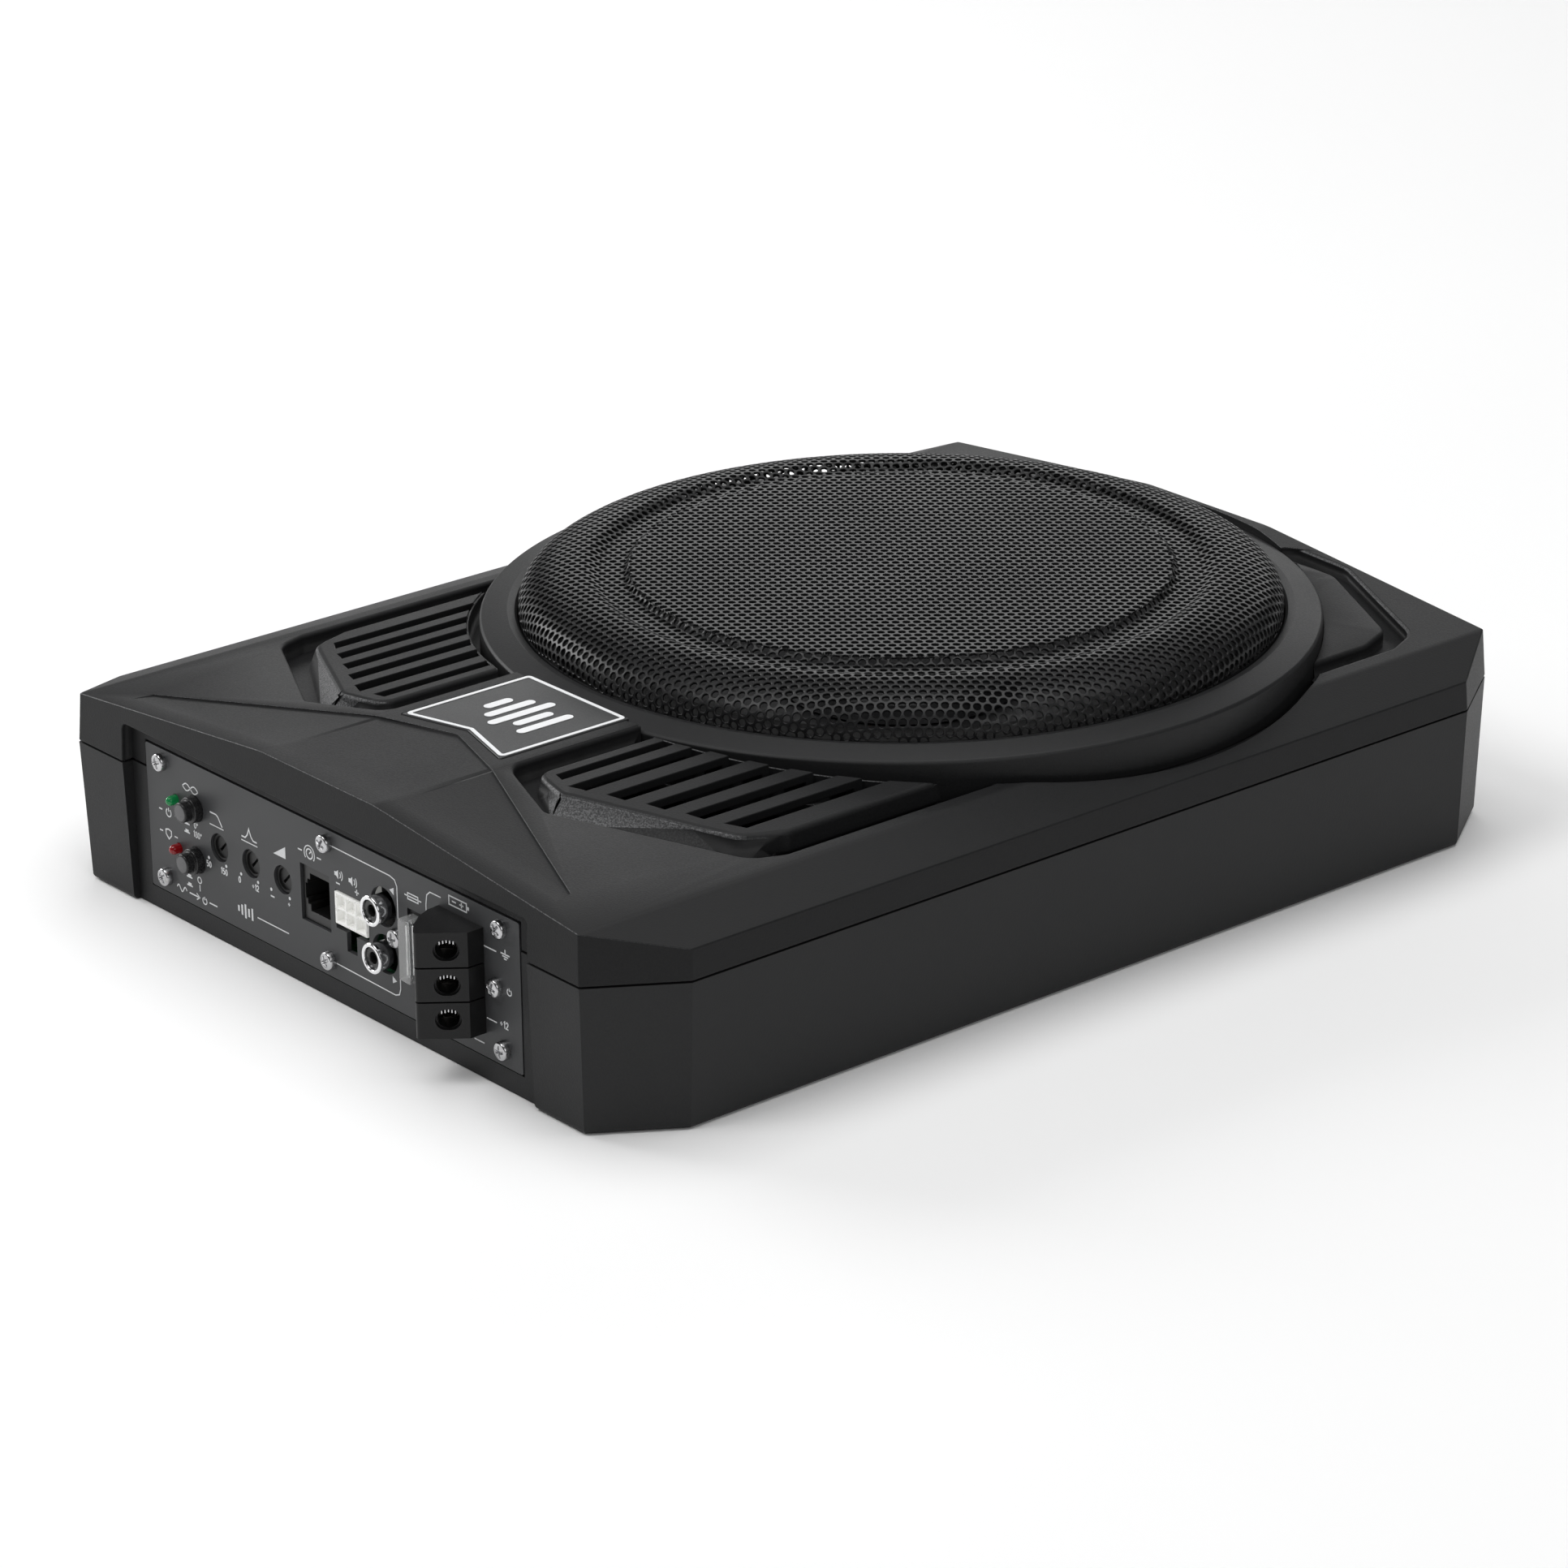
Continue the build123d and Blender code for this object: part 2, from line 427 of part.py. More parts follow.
# push buttons: tip, wider collar and a stem into the switch
for name, (x, z) in zip(("phase_button", "auto_on_button"), BUTTON_XZ):
    tip = ycyl(3.1, -178.0, -174.4, x, z)
    tip = fillet(tip.edges().group_by(Axis.Y)[0], 0.5)
    collar = ycyl(4.05, -175.2, -166.0, x, z)
    collar = fillet(collar.edges().group_by(Axis.Y)[0], 0.6)
    save(name, tip + collar + box(x - 1.4, x + 1.4, -166.1, -160.2, z - 1.4, z + 1.4))
sw = []
for x, z in BUTTON_XZ:
    sw.append(box(x - 5.0, x + 5.0, -162.6, -156.0, z - 5.0, z + 5.0) - box(x - 1.5, x + 1.5, -163, -157.6, z - 1.5, z + 1.5))
save("push_switches", sw)
for name, (x, z) in zip(("power_led", "protect_led"), LED_XZ):
    led = ycyl(1.5, -174.4, -168.0, x, z) + Pos(x, -174.4, z) * Sphere(1.5) + ycyl(1.9, -169.0, -168.0, x, z)
    save(name, led + box(x - 1.1, x - 0.7, -168.2, -156.02, z - 0.2, z + 0.2) + box(x + 0.7, x + 1.1, -168.2, -156.02, z - 0.2, z + 0.2))

# trimmers: slotted rotors that turn in fixed bodies
tb = []
for name, (x, z) in zip(("low_pass_trimmer", "bass_boost_trimmer", "input_gain_trimmer"), TRIM_XZ):
    rot = ycyl(3.3, -170.9, -165.4, x, z)
    rot = rot - Pos(x, -170.7, z) * Rot(0, -45, 0) * Box(4.6, 1.8, 0.9)
    rot = rot + ycyl(1.5, -165.5, -162.6, x, z)
    save(name, rot)
    body = ycyl(TRIM_R, -171.6, -164.0, x, z) - ycyl(3.35, -172, -164.9, x, z)
    body = body + box(x - 4.9, x + 4.9, -164.9, -156.0, z - 4.9, z + 4.9) - ycyl(1.55, -166, -162.2, x, z) - ycyl(3.35, -172, -165.2, x, z)
    tb.append(body)
save("trimmer_bodies", tb)

# modular jack for the wired remote
jx0, jx1, jz0, jz1 = JACK[0] + 0.3, JACK[1] - 0.3, JACK[2] + 0.3, JACK[3] - 0.3
jack = box(jx0, jx1, -171.6, -156.0, jz0, jz1)
jack = jack - box(-9.6, -0.3, -173, -158.6, 23.9, 35.5) - box(-11.0, -9.5, -173, -158.6, 25.9, 33.5) - box(-12.0, -10.9, -173, -158.6, 27.4, 32.0)
save("remote_jack", jack)
save("remote_jack_contacts", [box(-1.2, -0.75, -169.6, -158.7, 25.0 + 1.6 * i, 25.5 + 1.6 * i) for i in range(6)])

# keyed header for the speaker-level input
cx0, cx1, cz0, cz1 = CONN
hdr = box(cx0, cx1, PANEL_Y - 0.5, -156.0, cz0, cz1)
pit = (cx1 - cx0 - 1.2) / 3
cells, pins = [], []
for i in range(3):
    for k in range(2):
        x = cx0 + 0.6 + pit * (i + 0.5)
        z = cz0 + 0.6 + (cz1 - cz0 - 1.2) * (k + 0.5) / 2
        cells.append(box(x - pit / 2 + 0.35, x + pit / 2 - 0.35, PANEL_Y - 1, -161.5, z - 1.85, z + 1.85))
        pins.append(box(x - 0.55, x + 0.55, -169.5, -153.0, z - 0.55, z + 0.55))
hdr = cut_all(hdr, cells)
hdr = cut_all(hdr, pins)
save("high_level_header", hdr)
save("header_pins", pins)

# phono jacks
shells, insul, tips = [], [], []
for x, z in RCA_XZ:
    y0 = PANEL_Y - RCA_OUT
    b = ycyl(4.15, y0, -168.0, x, z) + ycyl(4.6, y0, y0 + 1.3, x, z)
    b = fillet(b.edges().group_by(Axis.Y)[0], 0.25) - ycyl(3.35, y0 - 1, -167, x, z)
    shells.append(b)
    insul.append(ycyl(3.3, y0 + 0.7, -168.0, x, z) - ycyl(1.75, y0 - 1, -169.5, x, z) - ycyl(0.95, y0 - 1, -160, x, z))
    tips.append(ycyl(0.9, -169.4, -160.0, x, z))
save("phono_shells", shells)
save("phono_insulators", insul)
rca_block = box(20.2, 37.6, -167.95, -156.0, 15.6, 44.2) - fuse_all(ycyl(0.95, -170, -150, *RCA_XZ[0]), [ycyl(0.95, -170, -150, *RCA_XZ[1])])
rca_block = rca_block + (box(30.6, 36.0, -170.9, -167.9, 27.4, 32.4)) - ycyl(1.25, -172, -163, 33.3, 29.9)
for x, z in RCA_XZ:
    rca_block = rca_block - ycyl(4.9, -171.5, -167.94, x, z)
save("phono_block", rca_block)
save("phono_contacts", tips)

# blade fuse, its holder and clips
fx0, fx1, fz0, fz1 = FUSE
fy0 = PANEL_Y - FUSE_OUT
fb = box(fx0, fx1, fy0, fy0 + 12.0, fz0, fz1)
fb = fillet(fb.edges().filter_by(Axis.Y), 0.8)
fmid = (fx0 + fx1) / 2
fb = fb - box(fmid - 0.5, fmid + 0.5, fy0 + 2.2, fy0 + 13, fz0 + 1.9, fz0 + 7.3) - box(fmid - 0.5, fmid + 0.5, fy0 + 2.2, fy0 + 13, fz1 - 7.3, fz1 - 1.9) \
        - box(fmid - 0.5, fmid + 0.5, fy0 + 2.2, fy0 + 5.4, fz0 + 7.2, fz1 - 7.2)
save("fuse_body", fb)
el = box(fmid - 0.33, fmid + 0.33, fy0 + 2.4, fy0 + 19.0, fz0 + 2.1, fz0 + 7.1) + box(fmid - 0.33, fmid + 0.33, fy0 + 2.4, fy0 + 19.0, fz1 - 7.1, fz1 - 2.1) \
     + box(fmid - 0.33, fmid + 0.33, fy0 + 2.9, fy0 + 4.6, fz0 + 7.0, fz1 - 7.0)
save("fuse_blades", el)
fh = box(fx0 - 0.7, fx1 + 0.7, -171.7, -156.0, fz0 - 1.8, fz1 + 1.5) - box(fx0 - 0.15, fx1 + 0.15, -173, -164.4, fz0 - 0.15, fz1 + 0.15) \
     - box(fmid - 2.2, fmid + 2.2, -165, -156.8, fz0 + 1.6, fz0 + 7.6) - box(fmid - 2.2, fmid + 2.2, -165, -156.8, fz1 - 7.6, fz1 - 1.6)
save("fuse_holder", fh)
clips = []
for za, zb in ((fz0 + 1.9, fz0 + 7.3), (fz1 - 7.3, fz1 - 1.9)):
    for sgn in (1, -1):
        clips.append(box(min(fmid + sgn * 0.38, fmid + sgn * 1.1), max(fmid + sgn * 0.38, fmid + sgn * 1.1), -164.2, -156.9, za, zb))
save("fuse_clips", clips)

# power terminal block: three stacked cells, wire ports on the angled face
plan = [(x, PANEL_Y - 0.02 - p) for x, p in BLOCK_PLAN]
blk = prism(plan, BLOCK_Z[0], BLOCK_Z[1])
vert = [e for e in blk.edges().filter_by(Axis.Z) if abs(e.center().X - 64.3) < 0.3]
blk = fillet(vert, 1.2)
blk = blk + box(57.3, 72.3, PANEL_Y - 0.1, -156.0, 16.3, 44.3)
for zg in (25.35, 35.65):
    g = prism([(x * 1.0, y) for x, y in plan], zg - 0.25, zg + 0.25) - prism([(x, y) for x, y in [(54.1, -172.0), (54.5, -176.6), (56.7, -180.9), (60.1, -185.0), (64.2, -188.1), (72.8, -177.6), (72.8, -172.0)]], zg - 1, zg + 1)
    blk = blk - g
# the angled face: from (64.3, -189.6) to (73.6, -178.0)
fa, fbp = (64.3, PANEL_Y - 17.12), (73.6, PANEL_Y - 5.52)
ux, uy = fbp[0] - fa[0], fbp[1] - fa[1]
ul = math.hypot(ux, uy)
ux, uy = ux / ul, uy / ul
nx, ny = uy, -ux                       # outward normal of the angled face
pcx, pcy = fa[0] + ux * 0.6 * ul, fa[1] + uy * 0.6 * ul
PORT_DIR = (nx, ny)
PORT_MOUTH = (pcx, pcy)
ang = math.degrees(math.atan2(ny, nx))
for z in PORT_Z:
    mouth = Pos(pcx, pcy, z) * Rot(0, 0, ang) * Rot(0, 90, 0) * extrude(SlotOverall(7.4, 6.2, rotation=90), amount=1.6, both=True)
    bore = Pos(pcx, pcy, z) * Rot(0, 0, ang) * Rot(0, 90, 0) * Pos(0, 0, -4.5) * Cylinder(PORT_R, 9.0)
    blk = blk - mouth - bore
# screw wells in the rounded back flank
wellx, welly = 57.6, PANEL_Y - 11.2
wang = math.degrees(math.atan2(-0.72, -0.70))
screws, clamps = [], []
for z in PORT_Z:
    well = Pos(wellx, welly, z) * Rot(0, 0, wang) * Rot(0, 90, 0) * Cylinder(2.3, 7.0)
    blk = blk - well
    at_port = Pos(pcx, pcy, z) * Rot(0, 0, ang)
    blk = blk - at_port * box(-13.5, -7.2, -3.2, 3.2, -3.3, 3.3) - box(59.4, 63.6, -172.4, -150, z - 1.0, z + 1.0)
    scr = Pos(wellx, welly, z) * Rot(0, 0, wang) * Rot(0, 90, 0) * Pos(0, 0, -1.1) * Cylinder(2.15, 2.2)
    scr = scr - Pos(wellx, welly, z) * Rot(0, 0, wang) * Rot(0, 90, 0) * Pos(0, 0, -0.2) * Box(0.7, 3.6, 0.9)
    screws.append(scr)
    clamps.append(at_port * (box(-13.3, -7.4, -3.0, 3.0, -3.1, 3.1) - box(-12.1, -7.0, -2.3, 2.3, -2.4, 2.4)))
save("power_terminal_block", sorted(blk.solids(), key=lambda s: -s.volume)[0])
save("terminal_clamps", clamps)
save("terminal_screws", screws)

# ---------------------------------------------------------------- electronics inside
board = box(-110.0, 110.0, -164.5, -94.0, 9.05, 10.65)
board = cut_all(board, [cyl(1.5, 5, 15, x, y) for x, y in BOARD_POSTS])
save("amplifier_board", board)
fb2 = box(-84.0, 75.5, -155.95, -154.4, 10.7, 43.4) - fuse_all(pins[0], pins[1:])
fb2 = cut_all(fb2, [box(59.1, 63.9, -157, -150, z - 1.3, z + 1.3) for z in PORT_Z])
save("front_board", fb2)
bs = []
for x, y in BOARD_POSTS:
    bs.append(cyl(2.6, 10.67, 12.4, x, y) - Pos(x, y, 12.4) * Box(3.2, 0.7, 1.4) + cyl(1.15, 5.0, 10.7, x, y))
save("board_screws", bs)
hs = box(-96.0, 96.0, -106.0, -103.6, 10.7, 36.0)
for i in range(6):
    z0 = 12.6 + i * 4.2
    hs = hs + box(-96.0, 96.0, -103.7, -96.5, z0, z0 + 1.4)
hs = hs - cyl(4.2, 9, 15.5, 0, -98.6)
save("heatsink", hs)
tr = []
for i, x in enumerate((-78.0, -58.0, -38.0, 22.0, 42.0, 62.0)):
    tr.append(box(x - 5.2, x + 5.2, -110.6, -106.05, 16.0, 31.5))
    for d in (-2.54, 0.0, 2.54):
        tr.append(box(x + d - 0.35, x + d + 0.35, -108.8, -108.1, 10.68, 16.0))
save("power_transistors", tr)
save("transistor_clamp", [box(-86.0, -30.0, -112.2, -110.62, 22.0, 26.0), box(14.0, 70.0, -112.2, -110.62, 22.0, 26.0)])
tor = Pos(88.0, -132.0, 20.4) * Torus(11.0, 7.0)
save("choke_core", tor)
cap_list = []
for (x, y, r, h) in ((60.0, -131.0, 8.0, 30.0), (42.0, -131.0, 8.0, 30.0), (24.0, -133.0, 6.3, 24.0), (-20.0, -130.0, 8.0, 30.0), (-38.0, -130.0, 8.0, 30.0), (-60.0, -130.0, 5.0, 16.0), (-74.0, -128.0, 5.0, 16.0)):
    c = cyl(r, 10.68, 10.68 + h, x, y)
    cap_list.append(fillet(c.edges().group_by(Axis.Z)[-1], 0.8))
save("capacitors", cap_list)
save("power_transformer", [box(-9.5, 14.5, -148.0, -124.0, 10.68, 30.0) - box(-6.5, 11.5, -150.0, -122.0, 14.6, 26.0),
                           fillet(box(-6.3, 11.3, -150.5, -121.5, 14.8, 25.8).edges().filter_by(Axis.X), 2.0)])

# loom from the board to the voice coil tags, and supply tails behind the terminals
loom = []
for i, (x0, x1) in enumerate(((-10.0, -10.0), (10.0, 10.0))):
    path = Polyline((x0, -95.5, 12.1), (x0, -80.0, 12.1), (x1, -62.0, 33.4), (x1, -47.1, 33.4))
    path = fillet(path.vertices().sort_by(Axis.Y)[1:3], 5)
    prof = Plane(origin=(x0, -95.5, 12.1), z_dir=(0, 1, 0)) * Circle(1.3)
    loom.append(sweep(prof, path=path))
save("speaker_leads", loom)
tl = []
for z in PORT_Z:
    tl.append(box(59.5, 63.5, -171.5, -153.6, z - 0.9, z + 0.9))
save("supply_bars", tl)

# fixings and feet
cs = []
for x, y in COVER_SCREWS:
    h = cyl(3.7, 0.7, 3.35, x, y)
    h = h - Pos(x, y, 0.9) * Box(4.0, 0.9, 1.6) - Pos(x, y, 0.9) * Box(0.9, 4.0, 1.6)
    cs.append(h + cyl(1.25, 3.3, 52.0, x, y))
save("cover_screws", cs)
save("foot_pads", [cyl(11.0, 0.0, 0.98, x, y) for x, y in FEET])
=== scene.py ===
import json
import math

import bmesh
import bpy
import numpy as np
from mathutils import Matrix, Vector
from mathutils.geometry import delaunay_2d_cdt


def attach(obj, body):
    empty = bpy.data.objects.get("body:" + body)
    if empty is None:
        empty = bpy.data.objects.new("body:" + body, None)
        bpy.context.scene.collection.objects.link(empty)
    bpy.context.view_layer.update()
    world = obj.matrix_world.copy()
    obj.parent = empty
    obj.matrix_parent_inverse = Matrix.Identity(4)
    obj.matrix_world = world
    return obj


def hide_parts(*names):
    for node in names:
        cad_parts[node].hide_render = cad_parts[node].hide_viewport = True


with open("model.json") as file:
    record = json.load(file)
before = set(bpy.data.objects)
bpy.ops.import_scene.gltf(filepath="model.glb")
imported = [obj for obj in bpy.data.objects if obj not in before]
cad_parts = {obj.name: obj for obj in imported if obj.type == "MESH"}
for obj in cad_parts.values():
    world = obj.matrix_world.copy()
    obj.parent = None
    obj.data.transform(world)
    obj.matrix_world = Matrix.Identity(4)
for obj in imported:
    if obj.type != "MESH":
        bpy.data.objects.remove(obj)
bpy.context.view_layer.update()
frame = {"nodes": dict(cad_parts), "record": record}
NODES = frame["nodes"]
MM = 0.001
PANEL_Y = -172.5
AX = (0.0, 44.5)


# ------------------------------------------------------------------ materials
class Tree:
    """A small builder for one node material."""

    def __init__(self, name):
        self.mat = bpy.data.materials.new(name)
        self.mat.use_nodes = True
        self.nt = self.mat.node_tree
        self.nt.nodes.clear()
        self.out = self.nt.nodes.new("ShaderNodeOutputMaterial")
        self.bsdf = self.nt.nodes.new("ShaderNodeBsdfPrincipled")
        self.nt.links.new(self.bsdf.outputs[0], self.out.inputs[0])
        self.coord = self.nt.nodes.new("ShaderNodeTexCoord").outputs["Object"]

    def link(self, a, b):
        self.nt.links.new(a, b)

    def scaled(self, sx, sy, sz):
        m = self.nt.nodes.new("ShaderNodeMapping")
        m.inputs["Scale"].default_value = (sx, sy, sz)
        self.link(self.coord, m.inputs["Vector"])
        return m.outputs[0]

    def noise(self, size_mm, detail=3.0, rough=0.55, vec=None, distortion=0.0):
        n = self.nt.nodes.new("ShaderNodeTexNoise")
        n.inputs["Scale"].default_value = 1000.0 / size_mm
        n.inputs["Detail"].default_value = detail
        n.inputs["Roughness"].default_value = rough
        n.inputs["Distortion"].default_value = distortion
        self.link(vec or self.coord, n.inputs["Vector"])
        return n.outputs["Fac"]

    def cells(self, size_mm, feature="F1", vec=None, randomness=1.0):
        v = self.nt.nodes.new("ShaderNodeTexVoronoi")
        v.feature = feature
        v.inputs["Scale"].default_value = 1000.0 / size_mm
        v.inputs["Randomness"].default_value = randomness
        self.link(vec or self.coord, v.inputs["Vector"])
        return v.outputs["Distance"]

    def spread(self, value, a0, a1, b0, b1):
        m = self.nt.nodes.new("ShaderNodeMapRange")
        m.inputs["From Min"].default_value = a0
        m.inputs["From Max"].default_value = a1
        m.inputs["To Min"].default_value = b0
        m.inputs["To Max"].default_value = b1
        self.link(value, m.inputs["Value"])
        return m.outputs["Result"]

    def math(self, op, a, b, clamp=False):
        m = self.nt.nodes.new("ShaderNodeMath")
        m.operation = op
        m.use_clamp = clamp
        for k, v in enumerate((a, b)):
            if isinstance(v, (int, float)):
                m.inputs[k].default_value = v
            else:
                self.link(v, m.inputs[k])
        return m.outputs[0]

    def mix(self, fac, a, b):
        m = self.nt.nodes.new("ShaderNodeMix")
        m.data_type = "RGBA"
        self.link(fac, m.inputs["Factor"])
        for sock, v in ((m.inputs[6], a), (m.inputs[7], b)):
            if isinstance(v, tuple):
                sock.default_value = (*v, 1.0)
            else:
                self.link(v, sock)
        return m.outputs[2]

    def bump(self, height, strength, dist_mm, normal=None):
        b = self.nt.nodes.new("ShaderNodeBump")
        b.inputs["Strength"].default_value = strength
        b.inputs["Distance"].default_value = dist_mm * MM
        self.link(height, b.inputs["Height"])
        if normal is not None:
            self.link(normal, b.inputs["Normal"])
        return b.outputs[0]

    def edges(self, radius_mm):
        """1 on sharp edges, 0 on flats."""
        bev = self.nt.nodes.new("ShaderNodeBevel")
        bev.samples = 4
        bev.inputs["Radius"].default_value = radius_mm * MM
        geo = self.nt.nodes.new("ShaderNodeNewGeometry")
        dot = self.nt.nodes.new("ShaderNodeVectorMath")
        dot.operation = "DOT_PRODUCT"
        self.link(bev.outputs[0], dot.inputs[0])
        self.link(geo.outputs["True Normal"], dot.inputs[1])
        return self.spread(dot.outputs["Value"], 0.995, 0.88, 0.0, 1.0)


def moulded(name, base, rough=0.55, spec=0.3, grain=0.45, strength=0.25, vary=0.10, painted_edge_light=0.0, edge_mm=0.5, coat=0.0, painted_glint=None):
    """Grained or satin moulded plastic and paint, optionally with painted highlights (positive painted_edge_light) or
    painted crease shade (negative) on sharp edges, and a painted grain glint.
    """
    t = Tree(name)
    fine = t.noise(grain, 2.0, 0.6)
    broad = t.noise(46.0, 3.0, 0.5)
    mid = t.noise(5.0, 3.0, 0.6)
    a = tuple(c * (1 - vary) for c in base)
    b = tuple(c * (1 + vary) for c in base)
    col = t.mix(t.spread(broad, 0.3, 0.7, 0.0, 1.0), a, b)
    col = t.mix(t.spread(fine, 0.35, 0.75, 0.0, 0.35), col, tuple(min(1.0, c * 1.6 + 0.004) for c in base))
    # painted edge light: a positive value paints sharp edges paler as a painted highlight, a negative value paints them
    # darker as painted crease shade; a patchy noise breaks it up
    if painted_edge_light:
        e = t.edges(edge_mm)
        e = t.math("MULTIPLY", e, t.spread(mid, 0.35, 0.65, 0.35, 1.0))
        e = t.math("MULTIPLY", e, abs(painted_edge_light))
        col = t.mix(e, col, tuple(min(1.0, c * 2.2 + 0.02) for c in base) if painted_edge_light > 0 else tuple(c * 0.2 for c in base))
    if painted_glint:
        # painted highlight: faces leaning up and toward the front (the sloped fronts of the vent islands) get brighter
        # coarse grain specks, standing in for the grain's glint under the front light
        geo = t.nt.nodes.new("ShaderNodeNewGeometry")
        sep = t.nt.nodes.new("ShaderNodeSeparateXYZ")
        t.link(geo.outputs["True Normal"], sep.inputs[0])
        glint_facing_mask = t.math("MULTIPLY", t.spread(sep.outputs["Z"], 0.38, 0.52, 0.0, 1.0), t.spread(sep.outputs["Z"], 0.82, 0.90, 1.0, 0.0))
        glint_facing_mask = t.math("MULTIPLY", glint_facing_mask, t.spread(sep.outputs["Y"], -0.30, -0.50, 0.0, 1.0))
        speck = t.spread(t.noise(0.55, 2.0, 0.7), 0.42, 0.62, 0.25, 1.0)
        col = t.mix(t.math("MULTIPLY", glint_facing_mask, speck), col, painted_glint)
    t.link(col, t.bsdf.inputs["Base Color"])
    r = t.math("ADD", t.spread(broad, 0.3, 0.7, -0.03, 0.03), t.spread(fine, 0.3, 0.7, rough - 0.05, rough + 0.05))
    t.link(r, t.bsdf.inputs["Roughness"])
    t.bsdf.inputs["Specular IOR Level"].default_value = spec
    t.bsdf.inputs["Coat Weight"].default_value = coat
    t.bsdf.inputs["Coat Roughness"].default_value = 0.12
    t.link(t.bump(fine, strength, 0.05 + grain * 0.08), t.bsdf.inputs["Normal"])
    return t.mat


def metal(name, base, rough=0.3, brushed=None, vary=0.08, strength=0.12, stain=None):
    """Plated or bare metal, with a brushed direction or fine turning marks."""
    t = Tree(name)
    if brushed:
        vec = t.scaled(*brushed)
        line = t.noise(1.0, 2.0, 0.6, vec=vec)
    else:
        line = t.noise(0.25, 2.0, 0.6)
    broad = t.noise(3.0, 3.0, 0.6)
    a = tuple(c * (1 - vary) for c in base)
    b = tuple(min(1.0, c * (1 + vary)) for c in base)
    col = t.mix(t.spread(line, 0.3, 0.7, 0.0, 1.0), a, b)
    if stain:
        col = t.mix(t.spread(broad, 0.52, 0.75, 0.0, 0.6), col, stain)
    t.link(col, t.bsdf.inputs["Base Color"])
    t.bsdf.inputs["Metallic"].default_value = 1.0
    t.link(t.spread(broad, 0.3, 0.7, rough * 0.8, rough * 1.25), t.bsdf.inputs["Roughness"])
    t.link(t.bump(line, strength, 0.02), t.bsdf.inputs["Normal"])
    return t.mat


def clear(name, base, rough=0.08, trans=0.9, ior=1.5, emit=None, vary=0.08):
    t = Tree(name)
    n = t.noise(1.4, 3.0, 0.6)
    col = t.mix(t.spread(n, 0.3, 0.7, 0.0, 1.0), tuple(c * (1 - vary) for c in base), tuple(min(1.0, c * (1 + vary)) for c in base))
    t.link(col, t.bsdf.inputs["Base Color"])
    t.link(t.spread(n, 0.3, 0.7, rough * 0.7, rough * 1.5), t.bsdf.inputs["Roughness"])
    t.bsdf.inputs["Transmission Weight"].default_value = trans
    t.bsdf.inputs["IOR"].default_value = ior
    if emit:
        t.bsdf.inputs["Emission Color"].default_value = (*emit[0], 1.0)
        t.bsdf.inputs["Emission Strength"].default_value = emit[1]
    t.link(t.bump(n, 0.06, 0.05), t.bsdf.inputs["Normal"])
    return t.mat


def woven(name, base, pitch=0.9, rough=0.85, strength=0.6):
    """Cloth with two thread directions."""
    t = Tree(name)
    w1 = t.nt.nodes.new("ShaderNodeTexWave")
    w1.bands_direction = "X"
    w1.inputs["Scale"].default_value = 1000.0 / pitch / 6.283
    w2 = t.nt.nodes.new("ShaderNodeTexWave")
    w2.bands_direction = "Y"
    w2.inputs["Scale"].default_value = 1000.0 / pitch / 6.283
    t.link(t.coord, w1.inputs["Vector"])
    t.link(t.coord, w2.inputs["Vector"])
    h = t.math("MAXIMUM", w1.outputs["Fac"], w2.outputs["Fac"])
    fine = t.noise(0.3, 2.0)
    col = t.mix(h, tuple(c * 0.55 for c in base), base)
    col = t.mix(t.spread(fine, 0.4, 0.7, 0.0, 0.3), col, tuple(min(1.0, c * 1.25) for c in base))
    t.link(col, t.bsdf.inputs["Base Color"])
    t.link(t.spread(fine, 0.3, 0.7, rough - 0.06, rough + 0.06), t.bsdf.inputs["Roughness"])
    t.link(t.bump(h, strength, 0.15), t.bsdf.inputs["Normal"])
    return t.mat


def board_paint(name, base):
    """Solder mask with copper tracks showing through it."""
    t = Tree(name)
    c = t.cells(3.2, "DISTANCE_TO_EDGE")
    track = t.spread(c, 0.10, 0.16, 1.0, 0.0)
    fine = t.noise(0.8, 2.0)
    col = t.mix(track, base, tuple(min(1.0, v * 1.9 + 0.01) for v in base))
    col = t.mix(t.spread(fine, 0.4, 0.7, 0.0, 0.2), col, tuple(v * 0.7 for v in base))
    t.link(col, t.bsdf.inputs["Base Color"])
    t.link(t.spread(fine, 0.3, 0.7, 0.25, 0.4), t.bsdf.inputs["Roughness"])
    t.link(t.bump(track, 0.4, 0.05), t.bsdf.inputs["Normal"])
    return t.mat


